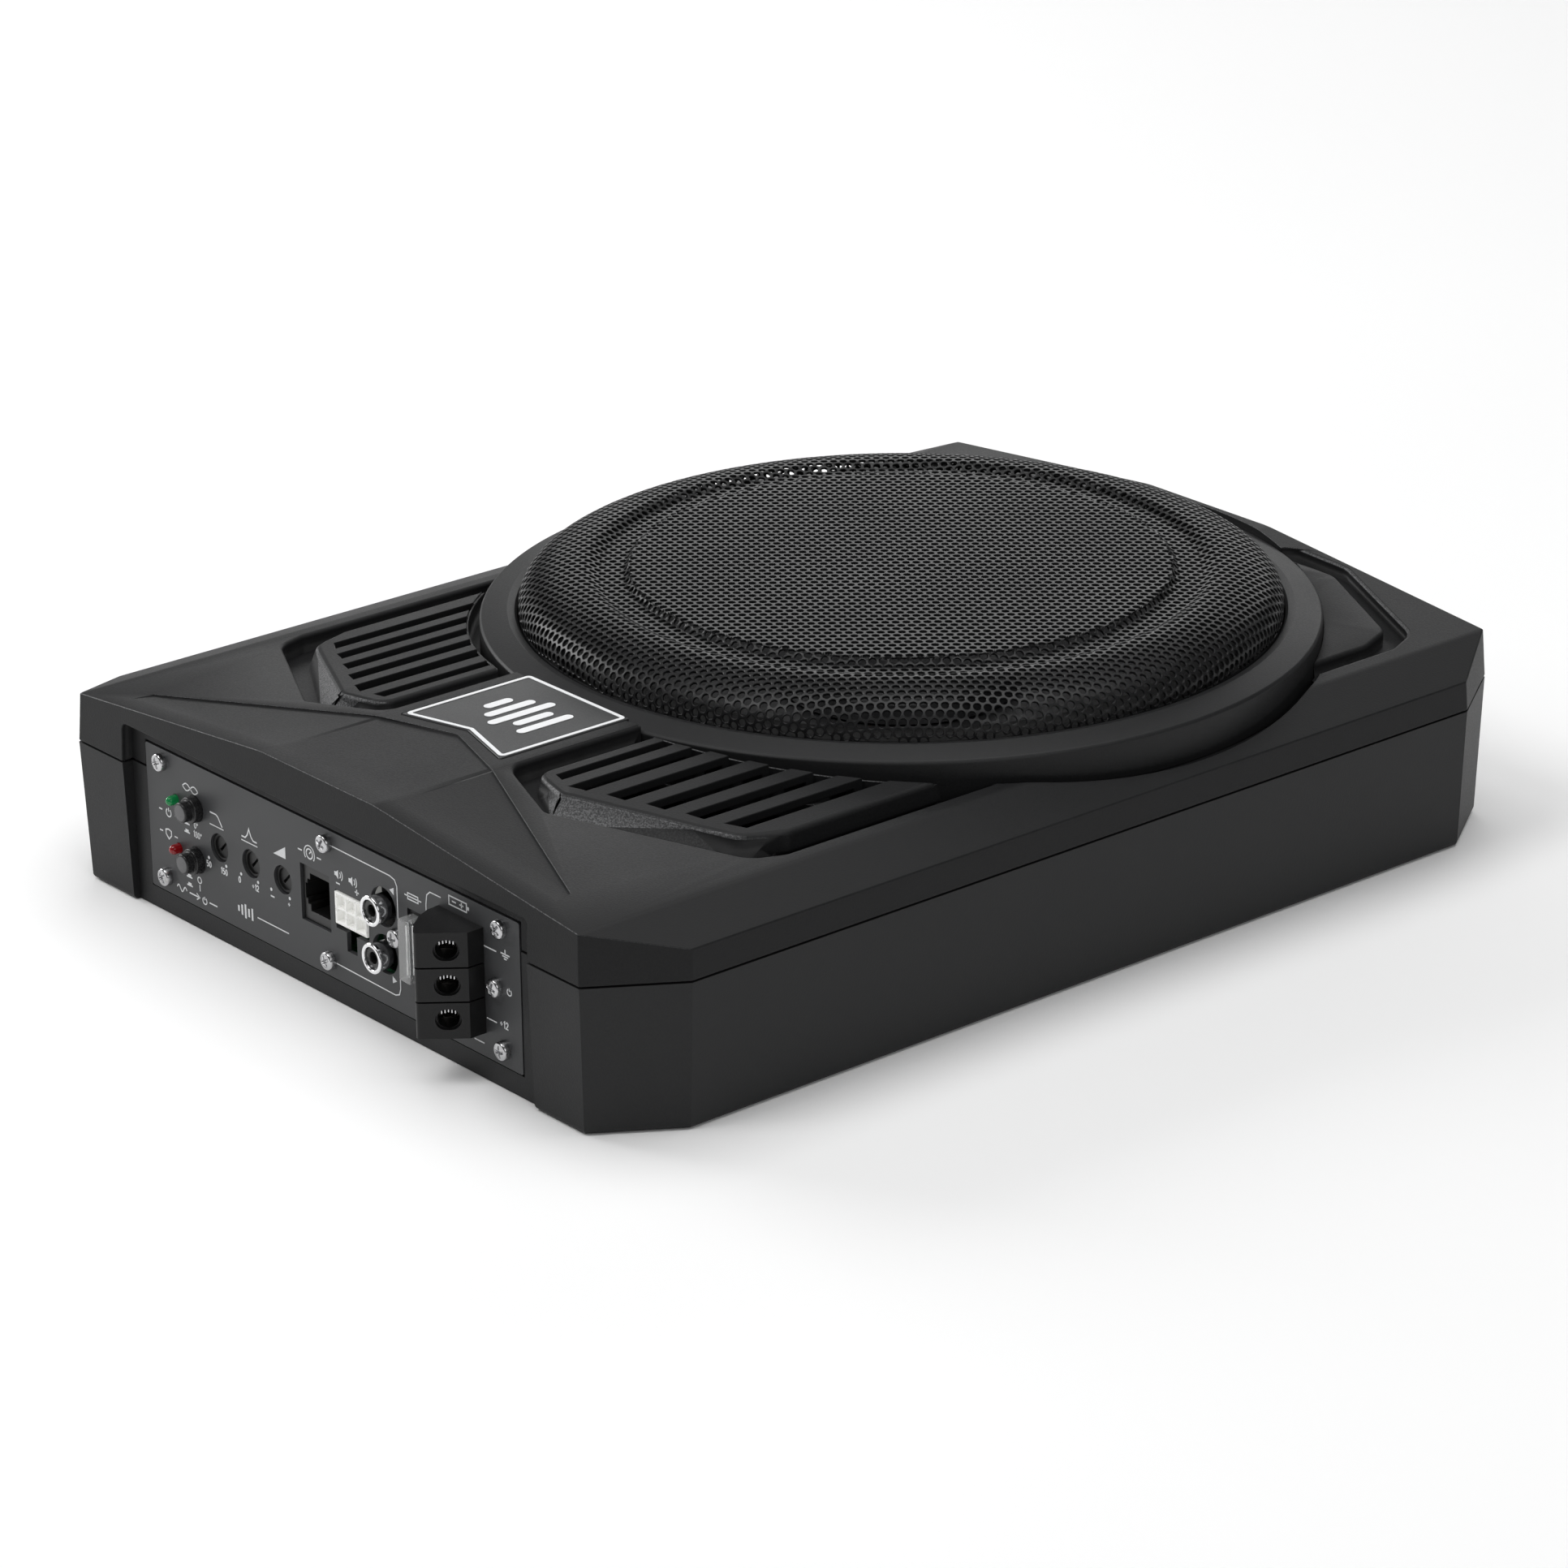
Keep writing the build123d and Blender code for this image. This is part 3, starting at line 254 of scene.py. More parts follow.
MAT = {
    # the argument after vary is painted_edge_light: negative values paint crease shade on sharp edges, positive values
    # paint a highlight on them
    "shell_plastic": moulded("shell_plastic", (0.0128, 0.0131, 0.0136), 0.52, 0.27, 0.60, 0.38, 0.10, -0.5, 0.5),
    # cover_plastic also carries the painted grain glint on the sloped island fronts
    "cover_plastic": moulded("cover_plastic", (0.0100, 0.0102, 0.0107), 0.50, 0.18, 0.60, 0.42, 0.10, -0.7, 0.45, painted_glint=(0.135, 0.136, 0.139)),
    "ring_plastic": moulded("ring_plastic", (0.0120, 0.0122, 0.0127), 0.48, 0.24, 0.55, 0.34, 0.08, -0.5, 0.4),
    "seal_foam": moulded("seal_foam", (0.004, 0.004, 0.004), 0.9, 0.1, 0.8, 0.6),
    "badge_plastic": moulded("badge_plastic", (0.020, 0.0205, 0.0215), 0.42, 0.35, 0.4, 0.15, 0.08, 0.2, 0.3),
    "badge_ink": moulded("badge_ink", (0.74, 0.75, 0.76), 0.38, 0.4, 0.25, 0.10, 0.05),
    "print_ink": moulded("print_ink", (0.66, 0.67, 0.68), 0.45, 0.3, 0.20, 0.10, 0.06),
    "grille_paint": moulded("grille_paint", (0.0085, 0.0086, 0.0090), 0.36, 0.26, 0.35, 0.08, 0.10, 0.0, 0.2, 0.03),
    "basket_paint": moulded("basket_paint", (0.012, 0.012, 0.012), 0.4, 0.4, 0.6, 0.2),
    "plated_steel": metal("plated_steel", (0.60, 0.60, 0.58), 0.32, None, 0.08, 0.1, (0.45, 0.42, 0.36)),
    "ferrite": moulded("ferrite", (0.03, 0.03, 0.033), 0.65, 0.4, 0.8, 0.5, 0.15),
    "coil_copper": metal("coil_copper", (0.78, 0.40, 0.20), 0.28, (0.05, 0.05, 4.0), 0.18, 0.5),
    "cone_black": moulded("cone_black", (0.010, 0.010, 0.011), 0.45, 0.35, 0.9, 0.3),
    "surround_rubber": moulded("surround_rubber", (0.008, 0.008, 0.008), 0.6, 0.3, 0.7, 0.25),
    "spider_cloth": woven("spider_cloth", (0.55, 0.42, 0.20), 0.9),
    "black_screw": metal("black_screw", (0.05, 0.05, 0.05), 0.38, None, 0.2, 0.15, (0.02, 0.02, 0.02)),
    "terminal_strip": moulded("terminal_strip", (0.10, 0.06, 0.035), 0.5, 0.3, 0.6, 0.2),
    "panel_paint": moulded("panel_paint", (0.040, 0.041, 0.043), 0.42, 0.34, 0.40, 0.22, 0.07, 0.25, 0.3),
    "chrome_screw": metal("chrome_screw", (0.52, 0.52, 0.53), 0.22, None, 0.05, 0.02, (0.36, 0.35, 0.34)),
    "button_grey": moulded("button_grey", (0.010, 0.010, 0.0105), 0.30, 0.4, 0.3, 0.2, 0.08, 0.2, 0.3),
    "button_face": moulded("button_face", (0.085, 0.085, 0.088), 0.35, 0.45, 0.3, 0.12, 0.06),
    "switch_black": moulded("switch_black", (0.010, 0.010, 0.010), 0.5, 0.35, 0.4, 0.2),
    "led_green": clear("led_green", (0.01, 0.30, 0.09), 0.06, 0.45, 1.5, ((0.01, 0.30, 0.08), 0.08)),
    "led_red": clear("led_red", (0.34, 0.006, 0.010), 0.06, 0.45, 1.5, ((0.30, 0.005, 0.008), 0.08)),
    "trimmer_black": moulded("trimmer_black", (0.012, 0.012, 0.012), 0.42, 0.4, 0.3, 0.2, 0.08, 0.25, 0.25),
    "jack_black": moulded("jack_black", (0.008, 0.008, 0.008), 0.34, 0.45, 0.4, 0.15),
    "gold_contact": metal("gold_contact", (0.90, 0.66, 0.28), 0.22, None, 0.06, 0.08),
    # header_white glows faintly: painted light, lifting the header out of the shade the phono barrels throw on it
    "header_white": clear("header_white", (0.84, 0.84, 0.82), 0.32, 0.12, 1.48, ((0.80, 0.80, 0.78), 0.16), 0.04),
    "tin_pin": metal("tin_pin", (0.72, 0.72, 0.70), 0.28, None, 0.08, 0.12, (0.5, 0.5, 0.48)),
    "phono_chrome": metal("phono_chrome", (0.82, 0.82, 0.83), 0.13, None, 0.04, 0.06, (0.6, 0.6, 0.58)),
    "phono_black": moulded("phono_black", (0.012, 0.012, 0.012), 0.28, 0.5, 0.4, 0.1),
    "fuse_clear": clear("fuse_clear", (0.93, 0.95, 0.95), 0.05, 0.80, 1.50),
    "holder_black": moulded("holder_black", (0.009, 0.009, 0.009), 0.45, 0.35, 0.4, 0.2),
    "terminal_black": moulded("terminal_black", (0.0068, 0.0068, 0.0071), 0.36, 0.26, 0.45, 0.2, 0.08, 0.35, 0.35),
    # clamp_brass is a dark grey in place of brass: painted shade for the dark insides of the supply ports
    "clamp_brass": metal("clamp_brass", (0.16, 0.155, 0.145), 0.30, None, 0.08, 0.12, (0.08, 0.075, 0.07)),
    "zinc_screw": metal("zinc_screw", (0.66, 0.66, 0.66), 0.26, None, 0.08, 0.1),
    "circuit_board": board_paint("circuit_board", (0.012, 0.085, 0.035)),
    "heatsink_metal": metal("heatsink_metal", (0.70, 0.70, 0.70), 0.34, (0.04, 3.0, 3.0), 0.1, 0.25),
    "transistor_black": moulded("transistor_black", (0.014, 0.014, 0.014), 0.38, 0.4, 0.5, 0.2),
    "clamp_steel": metal("clamp_steel", (0.58, 0.58, 0.58), 0.30, (0.05, 3.0, 3.0), 0.1, 0.2),
    "choke_green": moulded("choke_green", (0.03, 0.16, 0.07), 0.4, 0.4, 0.7, 0.2),
    "capacitor_sleeve": moulded("capacitor_sleeve", (0.015, 0.02, 0.06), 0.28, 0.5, 0.8, 0.08),
    "transformer_core": moulded("transformer_core", (0.05, 0.048, 0.045), 0.5, 0.35, 0.8, 0.3, 0.2),
    "lead_red": moulded("lead_red", (0.32, 0.02, 0.02), 0.45, 0.4, 0.7, 0.12),
    "foot_rubber": moulded("foot_rubber", (0.012, 0.012, 0.012), 0.75, 0.2, 0.9, 0.5),
}
SLOT_OF = {s["node"]: s["material_slot"] for s in frame["record"]["subparts"]}
BODY_OF = {n: b for b, ns in frame["record"]["behaviour"]["bodies"].items() for n in ns}
for n, o in NODES.items():
    o.data.materials.clear()
    o.data.materials.append(MAT[SLOT_OF[n]])


# ------------------------------------------------------------------ mesh helpers
def new_object(name, verts, faces, slot, body=None, node=None, smooth=30.0, replaces=(), mat=None):
    me = bpy.data.meshes.new(name)
    me.from_pydata([tuple(v) for v in verts], [], [tuple(f) for f in faces])
    me.validate()
    me.update()
    return finish_object(name, me, slot, body, smooth, replaces, mat)


def finish_object(name, me, slot, body, smooth=30.0, replaces=(), mat=None):
    me.materials.clear()
    me.materials.append(MAT[mat or slot])
    for p in me.polygons:
        p.use_smooth = True
    me.set_sharp_from_angle(angle=math.radians(smooth))
    o = bpy.data.objects.new(name, me)
    bpy.context.scene.collection.objects.link(o)
    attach(o, body or "chassis")
    if replaces:
        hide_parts(*replaces)
    return o


def lathe_mesh(profile, segs, frame_at=None, closed=True):
    """Solid of revolution about Z from (r, z) points in mm. frame_at is a 4x4 matrix in metres."""
    verts, faces, rings = [], [], []
    for r, z in profile:
        if r < 1e-6:
            rings.append([len(verts)])
            verts.append((0.0, 0.0, z * MM))
        else:
            rings.append(list(range(len(verts), len(verts) + segs)))
            for k in range(segs):
                a = 2 * math.pi * k / segs
                verts.append((r * MM * math.cos(a), r * MM * math.sin(a), z * MM))
    n = len(rings)
    for i in range(n if closed else n - 1):
        a, b = rings[i], rings[(i + 1) % n]
        if len(a) == 1 and len(b) == 1:
            continue
        for k in range(segs):
            k2 = (k + 1) % segs
            if len(a) == 1:
                faces.append((a[0], b[k], b[k2]))
            elif len(b) == 1:
                faces.append((a[k], b[0], a[k2]))
            else:
                faces.append((a[k], b[k], b[k2], a[k2]))
    if frame_at is not None:
        verts = [tuple(frame_at @ Vector(v)) for v in verts]
    return verts, faces


def toward_panel(x, y, z):
    """Frame whose own +Z points out of the panel, along -Y, with its origin at (x, y, z) mm."""
    return Matrix.Translation(Vector((x, y, z)) * MM) @ Matrix.Rotation(math.radians(90), 4, "X")


def fix_normals(o):
    bm = bmesh.new()
    bm.from_mesh(o.data)
    bmesh.ops.recalc_face_normals(bm, faces=bm.faces)
    bm.to_mesh(o.data)
    bm.free()
    return o


def rounded(profile, radii, steps=5):
    """The closed (r, z) outline with each corner replaced by an arc of the given radius."""
    out, n = [], len(profile)
    for i in range(n):
        p0, p, p1 = (np.array(profile[(i + k) % n], float) for k in (-1, 0, 1))
        rad = radii[i] if isinstance(radii, (list, tuple)) else radii
        a, b = p0 - p, p1 - p
        la, lb = np.linalg.norm(a), np.linalg.norm(b)
        if rad <= 0 or la < 1e-9 or lb < 1e-9:
            out.append(tuple(p))
            continue
        a, b = a / la, b / lb
        ang = math.acos(max(-1, min(1, float(a @ b))))
        if ang > math.radians(176):
            out.append(tuple(p))
            continue
        t = min(rad / math.tan(ang / 2), la * 0.48, lb * 0.48)
        rr = t * math.tan(ang / 2)
        c = p + (a + b) / np.linalg.norm(a + b) * (rr / math.sin(ang / 2))
        s, e = p + a * t, p + b * t
        a0, a1 = math.atan2(*(s - c)[::-1]), math.atan2(*(e - c)[::-1])
        d = (a1 - a0 + math.pi) % (2 * math.pi) - math.pi
        for k in range(steps + 1):
            th = a0 + d * k / steps
            out.append((float(c[0] + rr * math.cos(th)), float(c[1] + rr * math.sin(th))))
    return out


def mended(me):
    """Cuts a many-sided flat into clean triangles where its own ones would run outside its outline."""
    me.calc_loop_triangles()
    covered = {}
    for tri in me.loop_triangles:
        covered[tri.polygon_index] = covered.get(tri.polygon_index, 0.0) + tri.area
    bad = [q.index for q in me.polygons if len(q.vertices) > 30 and covered.get(q.index, 0.0) > 1.01 * q.area + 1e-8]
    if not bad:
        return
    bm = bmesh.new()
    bm.from_mesh(me)
    bm.faces.ensure_lookup_table()
    for face in [bm.faces[i] for i in bad]:
        turn = face.normal.to_track_quat("Z", "Y")
        corners = list(face.verts)
        at = [(turn.inverted() @ v.co) * 1000.0 for v in corners]
        loop = [(c.x, c.y) for c in at]
        pts, _, tris, source, _, _ = delaunay_2d_cdt([Vector(c) for c in loop], [(i, (i + 1) % len(loop)) for i in range(len(loop))], [], 0, 1e-5, True)
        level = sum(c.z for c in at) / len(at)
        vert = [corners[s[0]] if s else bm.verts.new(turn @ (Vector((c.x, c.y, level)) * MM)) for c, s in zip(pts, source)]
        for tri in tris:
            c = sum((pts[i] for i in tri), Vector((0.0, 0.0))) / len(tri)
            if inside(c.x, c.y, loop):
                try:
                    bm.faces.new([vert[i] for i in tri], face)
                except ValueError:
                    pass
        bm.faces.remove(face)
    bm.verts.index_update()
    loose = [v for v in bm.verts if not v.link_faces]
    bmesh.ops.delete(bm, geom=loose, context="VERTS")
    bm.to_mesh(me)
    bm.free()


def softened(node, width_mm, segments=2, angle=24.0, name=None, dissolve=0.6, smooth=32.0, mat=None, widths=None, reshape=None):
    """A copy of a CAD node's shape with its flats merged and its edges rounded, standing in for the node.

    widths, when given, takes an edge's midpoint in mm and returns the rounding there."""
    me = NODES[node].data.copy()
    bm = bmesh.new()
    bm.from_mesh(me)
    bmesh.ops.remove_doubles(bm, verts=bm.verts, dist=0.004 * MM)
    bmesh.ops.dissolve_limit(bm, angle_limit=math.radians(dissolve), verts=bm.verts, edges=bm.edges)
    bmesh.ops.dissolve_degenerate(bm, edges=bm.edges, dist=0.004 * MM)
    if reshape:
        for v in bm.verts:
            v.co = Vector(reshape(*(v.co * 1000.0))) * MM
    layer = bm.edges.layers.float.new("bevel_weight_edge")
    for e in bm.edges:
        if len(e.link_faces) == 2 and e.calc_face_angle(0.0) > math.radians(angle):
            mid = (e.verts[0].co + e.verts[1].co) * 500.0
            e[layer] = min(1.0, (widths(mid, e) if widths else width_mm) / width_mm)
    bm.to_mesh(me)
    bm.free()
    for q in me.polygons:
        q.use_smooth = True
    me.update()
    o = bpy.data.objects.new("tmp_" + node, me)
    bpy.context.scene.collection.objects.link(o)
    mod = o.modifiers.new("round", "BEVEL")
    mod.width = width_mm * MM
    mod.segments = segments
    mod.limit_method = "WEIGHT"
    mod.use_clamp_overlap = widths is None
    mod.miter_outer = "MITER_ARC"
    mod.profile = 0.5
    flat = o.modifiers.new("flats", "WEIGHTED_NORMAL")
    flat.mode = "FACE_AREA"
    flat.weight = 100
    flat.keep_sharp = True
    dg = bpy.context.evaluated_depsgraph_get()
    out = bpy.data.meshes.new_from_object(o.evaluated_get(dg))
    bpy.data.objects.remove(o)
    mended(out)
    out.name = name or node + "_shape"
    out.materials.clear()
    out.materials.append(MAT[mat or SLOT_OF[node]])
    o = bpy.data.objects.new(name or node + "_shape", out)
    bpy.context.scene.collection.objects.link(o)
    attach(o, BODY_OF[node])
    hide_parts(node)
    return o


def inside(x, y, loop):
    hit = False
    for i in range(len(loop)):
        (x0, y0), (x1, y1) = loop[i - 1], loop[i]
        if (y0 > y) != (y1 > y) and x < (x1 - x0) * (y - y0) / (y1 - y0) + x0:
            hit = not hit
    return hit


SLOT_ZONE = [(40.2, -10), (40.2, -121.4), (42.8, -123.4), (49.5, -123.9), (53.4, -123.3), (94.6, -101.4), (97.2, -99.2), (97.9, -96.0), (97.9, -10)]


ISLAND_FOOT = [(33.0, -60), (33.0, -130.2), (54.0, -135.4), (104.0, -107.0), (108.8, -90.0), (108.8, -60)]


def lid_reshape(x, y, z):
    """The island fronts lean out a little more toward their foot, with the strip in front of them narrower."""
    ax = abs(x)
    if z < 57.0 or not inside(ax, y, ISLAND_FOOT) or inside(ax, y, SLOT_ZONE):
        return x, y, z
    top = np.interp(ax, [27, 54, 104.3, 125], [67.9, 67.2, 61.9, 59.6])
    if z > top - 1.5:
        return x, y, z
    d = (ax - 52.0) * 0.494 - (y + 127.2) * 0.869
    k = 3.4 * max(0.0, min(1.0, (d + 5.0) / 4.0)) * min(1.0, (top - z) / 5.5)
    return x + math.copysign(0.494 * k, x), y - 0.869 * k, z


def lid_rounding(mid, e):
    x, y, z = abs(mid.x), mid.y, mid.z
    if not e.is_convex:
        return 0.0
    if z < 50.0 or y < -150.0 or x > 116.0 or y > 173.0:
        return 0.4
    r = math.hypot(mid.x, y - AX[1])
    if r < 133.2:
        return 0.3
    if y < 0:
        return 0.3 if inside(x, y, SLOT_ZONE) else (1.4 if x > 29.0 and y > -139.0 else 0.2)
    return 1.3 if y > 105.0 else 0.3


# ------------------------------------------------------------------ case
softened("lower_shell", 0.8, 3)
softened("top_cover", 1.5, 4, widths=lid_rounding, reshape=lid_reshape)
softened("control_plate", 0.25, 2)
softened("badge_plate", 0.35, 2)
softened("power_terminal_block", 0.35, 2)
softened("high_level_header", 0.15, 2)
softened("fuse_body", 0.3, 2)
softened("remote_jack", 0.2, 2)
softened("trimmer_bodies", 0.2, 2)



def blocks(name, boxes, slot, body=None, mat=None, frame_at=None, soft=0.0):
    """Closed rectangular blocks (x0, x1, y0, y1, z0, z1 in mm) with chamfered long edges."""
    vs, fs = [], []
    for x0, x1, y0, y1, z0, z1 in boxes:
        q = min(soft, (x1 - x0) / 3, (z1 - z0) / 3)
        ring = [(x0 + q, z0), (x1 - q, z0), (x1, z0 + q), (x1, z1 - q), (x1 - q, z1), (x0 + q, z1), (x0, z1 - q), (x0, z0 + q)] if q > 0 else [(x0, z0), (x1, z0), (x1, z1), (x0, z1)]
        n, o = len(ring), len(vs)
        pts = [(x, y0, z) for x, z in ring] + [(x, y1, z) for x, z in ring]
        vs += [tuple((frame_at @ (Vector(p) * MM)) if frame_at is not None else Vector(p) * MM) for p in pts]
        fs.append(tuple(range(o, o + n)))
        fs.append(tuple(range(o + 2 * n - 1, o + n - 1, -1)))
        fs += [(o + i, o + n + i, o + n + (i + 1) % n, o + (i + 1) % n) for i in range(n)]
    return fix_normals(new_object(name, vs, fs, slot, body=body, mat=mat))


# six cells inside the header, and the toothed pressure plates seen in the supply ports
cells = [(4.9, 18.7, -171.0, -170.2, 25.9, 34.3)]
for x in (9.27, 13.93):
    cells.append((x - 0.4, x + 0.4, -172.9, -170.5, 25.9, 34.3))
cells.append((4.9, 18.7, -172.9, -170.5, 29.75, 30.45))
blocks("header_cells", cells, "header_white", soft=0.12)
for i, z in enumerate((40.9, 30.45, 20.1)):
    T = Matrix.Translation(Vector((69.88, -182.66, z)) * MM) @ Matrix.Rotation(math.atan2(-0.6255, 0.7802) + math.pi / 2, 4, "Z")
    # own -Y points out of the port
    blocks(f"port_teeth_{i + 1}", [(u - 0.17, u + 0.17, 2.2, 3.0, 1.35 - 0.25 * abs(u), 2.35 - 0.30 * abs(u)) for u in (-1.9, -0.95, 0.0, 0.95, 1.9)], "clamp_brass", mat="chrome_screw", frame_at=T, soft=0.08)

# trim ring, with soft edges
ring = rounded([(128.4, 54.1), (128.4, 65.9), (127.7, 66.6), (119.9, 68.7), (117.6, 68.3), (116.8, 67.3), (116.8, 62.0), (122.6, 62.0), (122.6, 54.1)],
               [0.3, 0.9, 0.9, 0.8, 0.5, 0.4, 0.2, 0.2, 0.3], 4)
v, f = lathe_mesh(ring, 288, Matrix.Translation((0, AX[1] * MM, 0)))
fix_normals(new_object("trim_ring_shape", v, f, "ring_plastic", smooth=38, replaces=("trim_ring",)))

# ------------------------------------------------------------------ perforated grille
PITCH = 3.12
HOLE_R = 1.19
SHEET = 0.8
GRILLE = [(0.0, 81.05), (30.0, 80.98), (60.0, 80.85), (80.6, 80.7), (82.4, 80.45), (83.3, 79.5), (84.4, 78.9), (86.5, 78.75), (91.0, 78.7), (92.6, 79.0),
          (94.8, 79.95), (96.6, 80.25), (100.0, 80.1), (104.0, 79.5), (108.0, 78.5), (111.0, 77.3), (113.2, 75.8), (114.7, 74.1), (115.6, 72.4), (116.0, 70.6), (116.05, 68.8), (116.05, 66.4)]


def smooth_path(pts, per=6):
    """Catmull-Rom through the points."""
    P = np.array([pts[0]] + list(pts) + [pts[-1]], float)
    out = []
    for i in range(1, len(P) - 2):
        for k in range(per):
            t = k / per
            a, b, c, d = P[i - 1], P[i], P[i + 1], P[i + 2]
            out.append(0.5 * ((2 * b) + (-a + c) * t + (2 * a - 5 * b + 4 * c - d) * t * t + (-a + 3 * b - 3 * c + d) * t ** 3))
    out.append(P[-2])
    return np.array(out)


GP = smooth_path(GRILLE)
GS = np.concatenate([[0], np.cumsum(np.hypot(*np.diff(GP, axis=0).T))])
GT = np.gradient(GP, GS, axis=0)
GT /= np.hypot(*GT.T)[:, None]


def on_grille(uv, off):
    """Flat sheet coordinates (mm) onto the pressed grille, moved off mm along its normal."""
    s = np.hypot(uv[:, 0], uv[:, 1])
    th = np.arctan2(uv[:, 1], uv[:, 0])
    r = np.interp(s, GS, GP[:, 0])
    z = np.interp(s, GS, GP[:, 1])
    tr = np.interp(s, GS, GT[:, 0])
    tz = np.interp(s, GS, GT[:, 1])
    r = r - tz * off
    z = z + tr * off
    return np.stack([r * np.cos(th), r * np.sin(th) + AX[1], z], 1) * MM


def grille_part(name, s0, s1, first):
    a = math.radians(-9.5)
    e1 = PITCH * np.array([math.cos(a), math.sin(a)])
    e2 = PITCH * np.array([math.cos(a + math.pi / 3), math.sin(a + math.pi / 3)])
    n = int(s1 / PITCH) + 30
    I, J = np.meshgrid(np.arange(-n, n + 1), np.arange(-n, n + 1), indexing="ij")
    I, J = I.ravel(), J.ravel()
    C = I[:, None] * e1 + J[:, None] * e2
    d = np.hypot(C[:, 0], C[:, 1])
    keep = (d >= s0) & (d < s1)
    I, J, C = I[keep], J[keep], C[keep]
    m = len(C)
    # hexagon corners: shared between cells by a rounded key
    ca = a + math.pi / 6 + np.arange(6) * math.pi / 3
    corner = C[:, None, :] + (PITCH / math.sqrt(3)) * np.stack([np.cos(ca), np.sin(ca)], 1)[None]
    key = np.round(corner.reshape(-1, 2), 3)
    uniq, inv = np.unique(key, axis=0, return_inverse=True)
    inv = inv.reshape(m, 6)
    nc = len(uniq)
    ha = a + np.arange(12) * math.pi / 6
    unit = np.stack([np.cos(ha), np.sin(ha)], 1)
    hole_out = (C[:, None, :] + (HOLE_R + 0.13) * unit[None]).reshape(-1, 2)
    hole_in = (C[:, None, :] + HOLE_R * unit[None]).reshape(-1, 2)
    top_c = on_grille(uniq, SHEET / 2)
    top_h = on_grille(hole_out, SHEET / 2)
    mid_h = on_grille(hole_in, SHEET / 2 - 0.13)
    bot_h = on_grille(hole_in, -SHEET / 2)
    bot_c = on_grille(uniq, -SHEET / 2)
    verts = np.concatenate([top_c, top_h, mid_h, bot_h, bot_c])
    o1, o2, o3, o4 = nc, nc + 12 * m, nc + 24 * m, nc + 36 * m
    faces = []
    base = np.arange(m)[:, None] * 12
    for k in range(6):
        # corner k sits at 30 + 60k degrees, between hole points 2k and 2k + 2
        c, c2 = inv[:, k], inv[:, (k + 1) % 6]
        h0 = base[:, 0] + 2 * k
        h1 = base[:, 0] + 2 * k + 1
        h2 = base[:, 0] + (2 * k + 2) % 12
        h3 = base[:, 0] + (2 * k + 3) % 12
        faces += [np.stack([o1 + h0, c, o1 + h1, o1 + h1], 1), np.stack([o1 + h1, c, o1 + h2, o1 + h2], 1), np.stack([o1 + h2, c, c2, c2], 1)]
        faces += [np.stack([o3 + h0, o3 + h1, o4 + c, o4 + c], 1), np.stack([o3 + h1, o3 + h2, o4 + c, o4 + c], 1), np.stack([o3 + h2, o4 + c2, o4 + c, o4 + c], 1)]
    for k in range(12):
        h0, h1 = base[:, 0] + k, base[:, 0] + (k + 1) % 12
        faces += [np.stack([o1 + h0, o1 + h1, o2 + h1, o2 + h0], 1), np.stack([o2 + h0, o2 + h1, o3 + h1, o3 + h0], 1)]
    tri, quad = [], []
    for F in faces:
        (tri if (F[0, 2] == F[0, 3]) else quad).append(F)
    tri = np.concatenate(tri)[:, :3]
    quad = np.concatenate(quad)
    # side walls where the part ends
    edge = {}
    for k in range(6):
        for c, c2 in zip(inv[:, k], inv[:, (k + 1) % 6]):
            kk = (min(c, c2), max(c, c2))
            edge[kk] = None if kk in edge else (c, c2)
    walls = np.array([(c2, c, o4 + c, o4 + c2) for v in edge.values() if v for c, c2 in (v,)])
    quad = np.concatenate([quad, walls])
    me = bpy.data.meshes.new(name)
    me.from_pydata(verts.tolist(), [], tri.tolist() + quad.tolist())
    me.update()
    o = finish_object(name, me, "grille_paint", "chassis", 40.0, ("mesh_grille",) if first else ())
    return fix_normals(o)


cuts = [0.0, 64.0, 92.0, 110.0, GS[-1] - 1.6]
for i in range(4):
    grille_part(f"grille_sheet_{i + 1}", cuts[i] if i else -1.0, cuts[i + 1], i == 0)
rim = rounded([(116.45, 68.0), (116.45, 61.8), (121.9, 61.8), (121.9, 60.95), (115.65, 60.95), (115.65, 68.0)], 0.25, 2)
v, f = lathe_mesh(rim, 192, Matrix.Translation((0, AX[1] * MM, 0)))
fix_normals(new_object("grille_rim", v, f, "grille_paint"))

# ------------------------------------------------------------------ panel fixings
SCREWS_XZ = [(-81.7, 48.5), (81.7, 48.5), (-81.7, 12.0), (81.7, 12.0), (0.4, 48.4), (0.3, 12.1), (78.9, 30.1), (33.3, 29.9)]
SPIN = [20, 52, 35, 8, 61, 28, 74, 12]


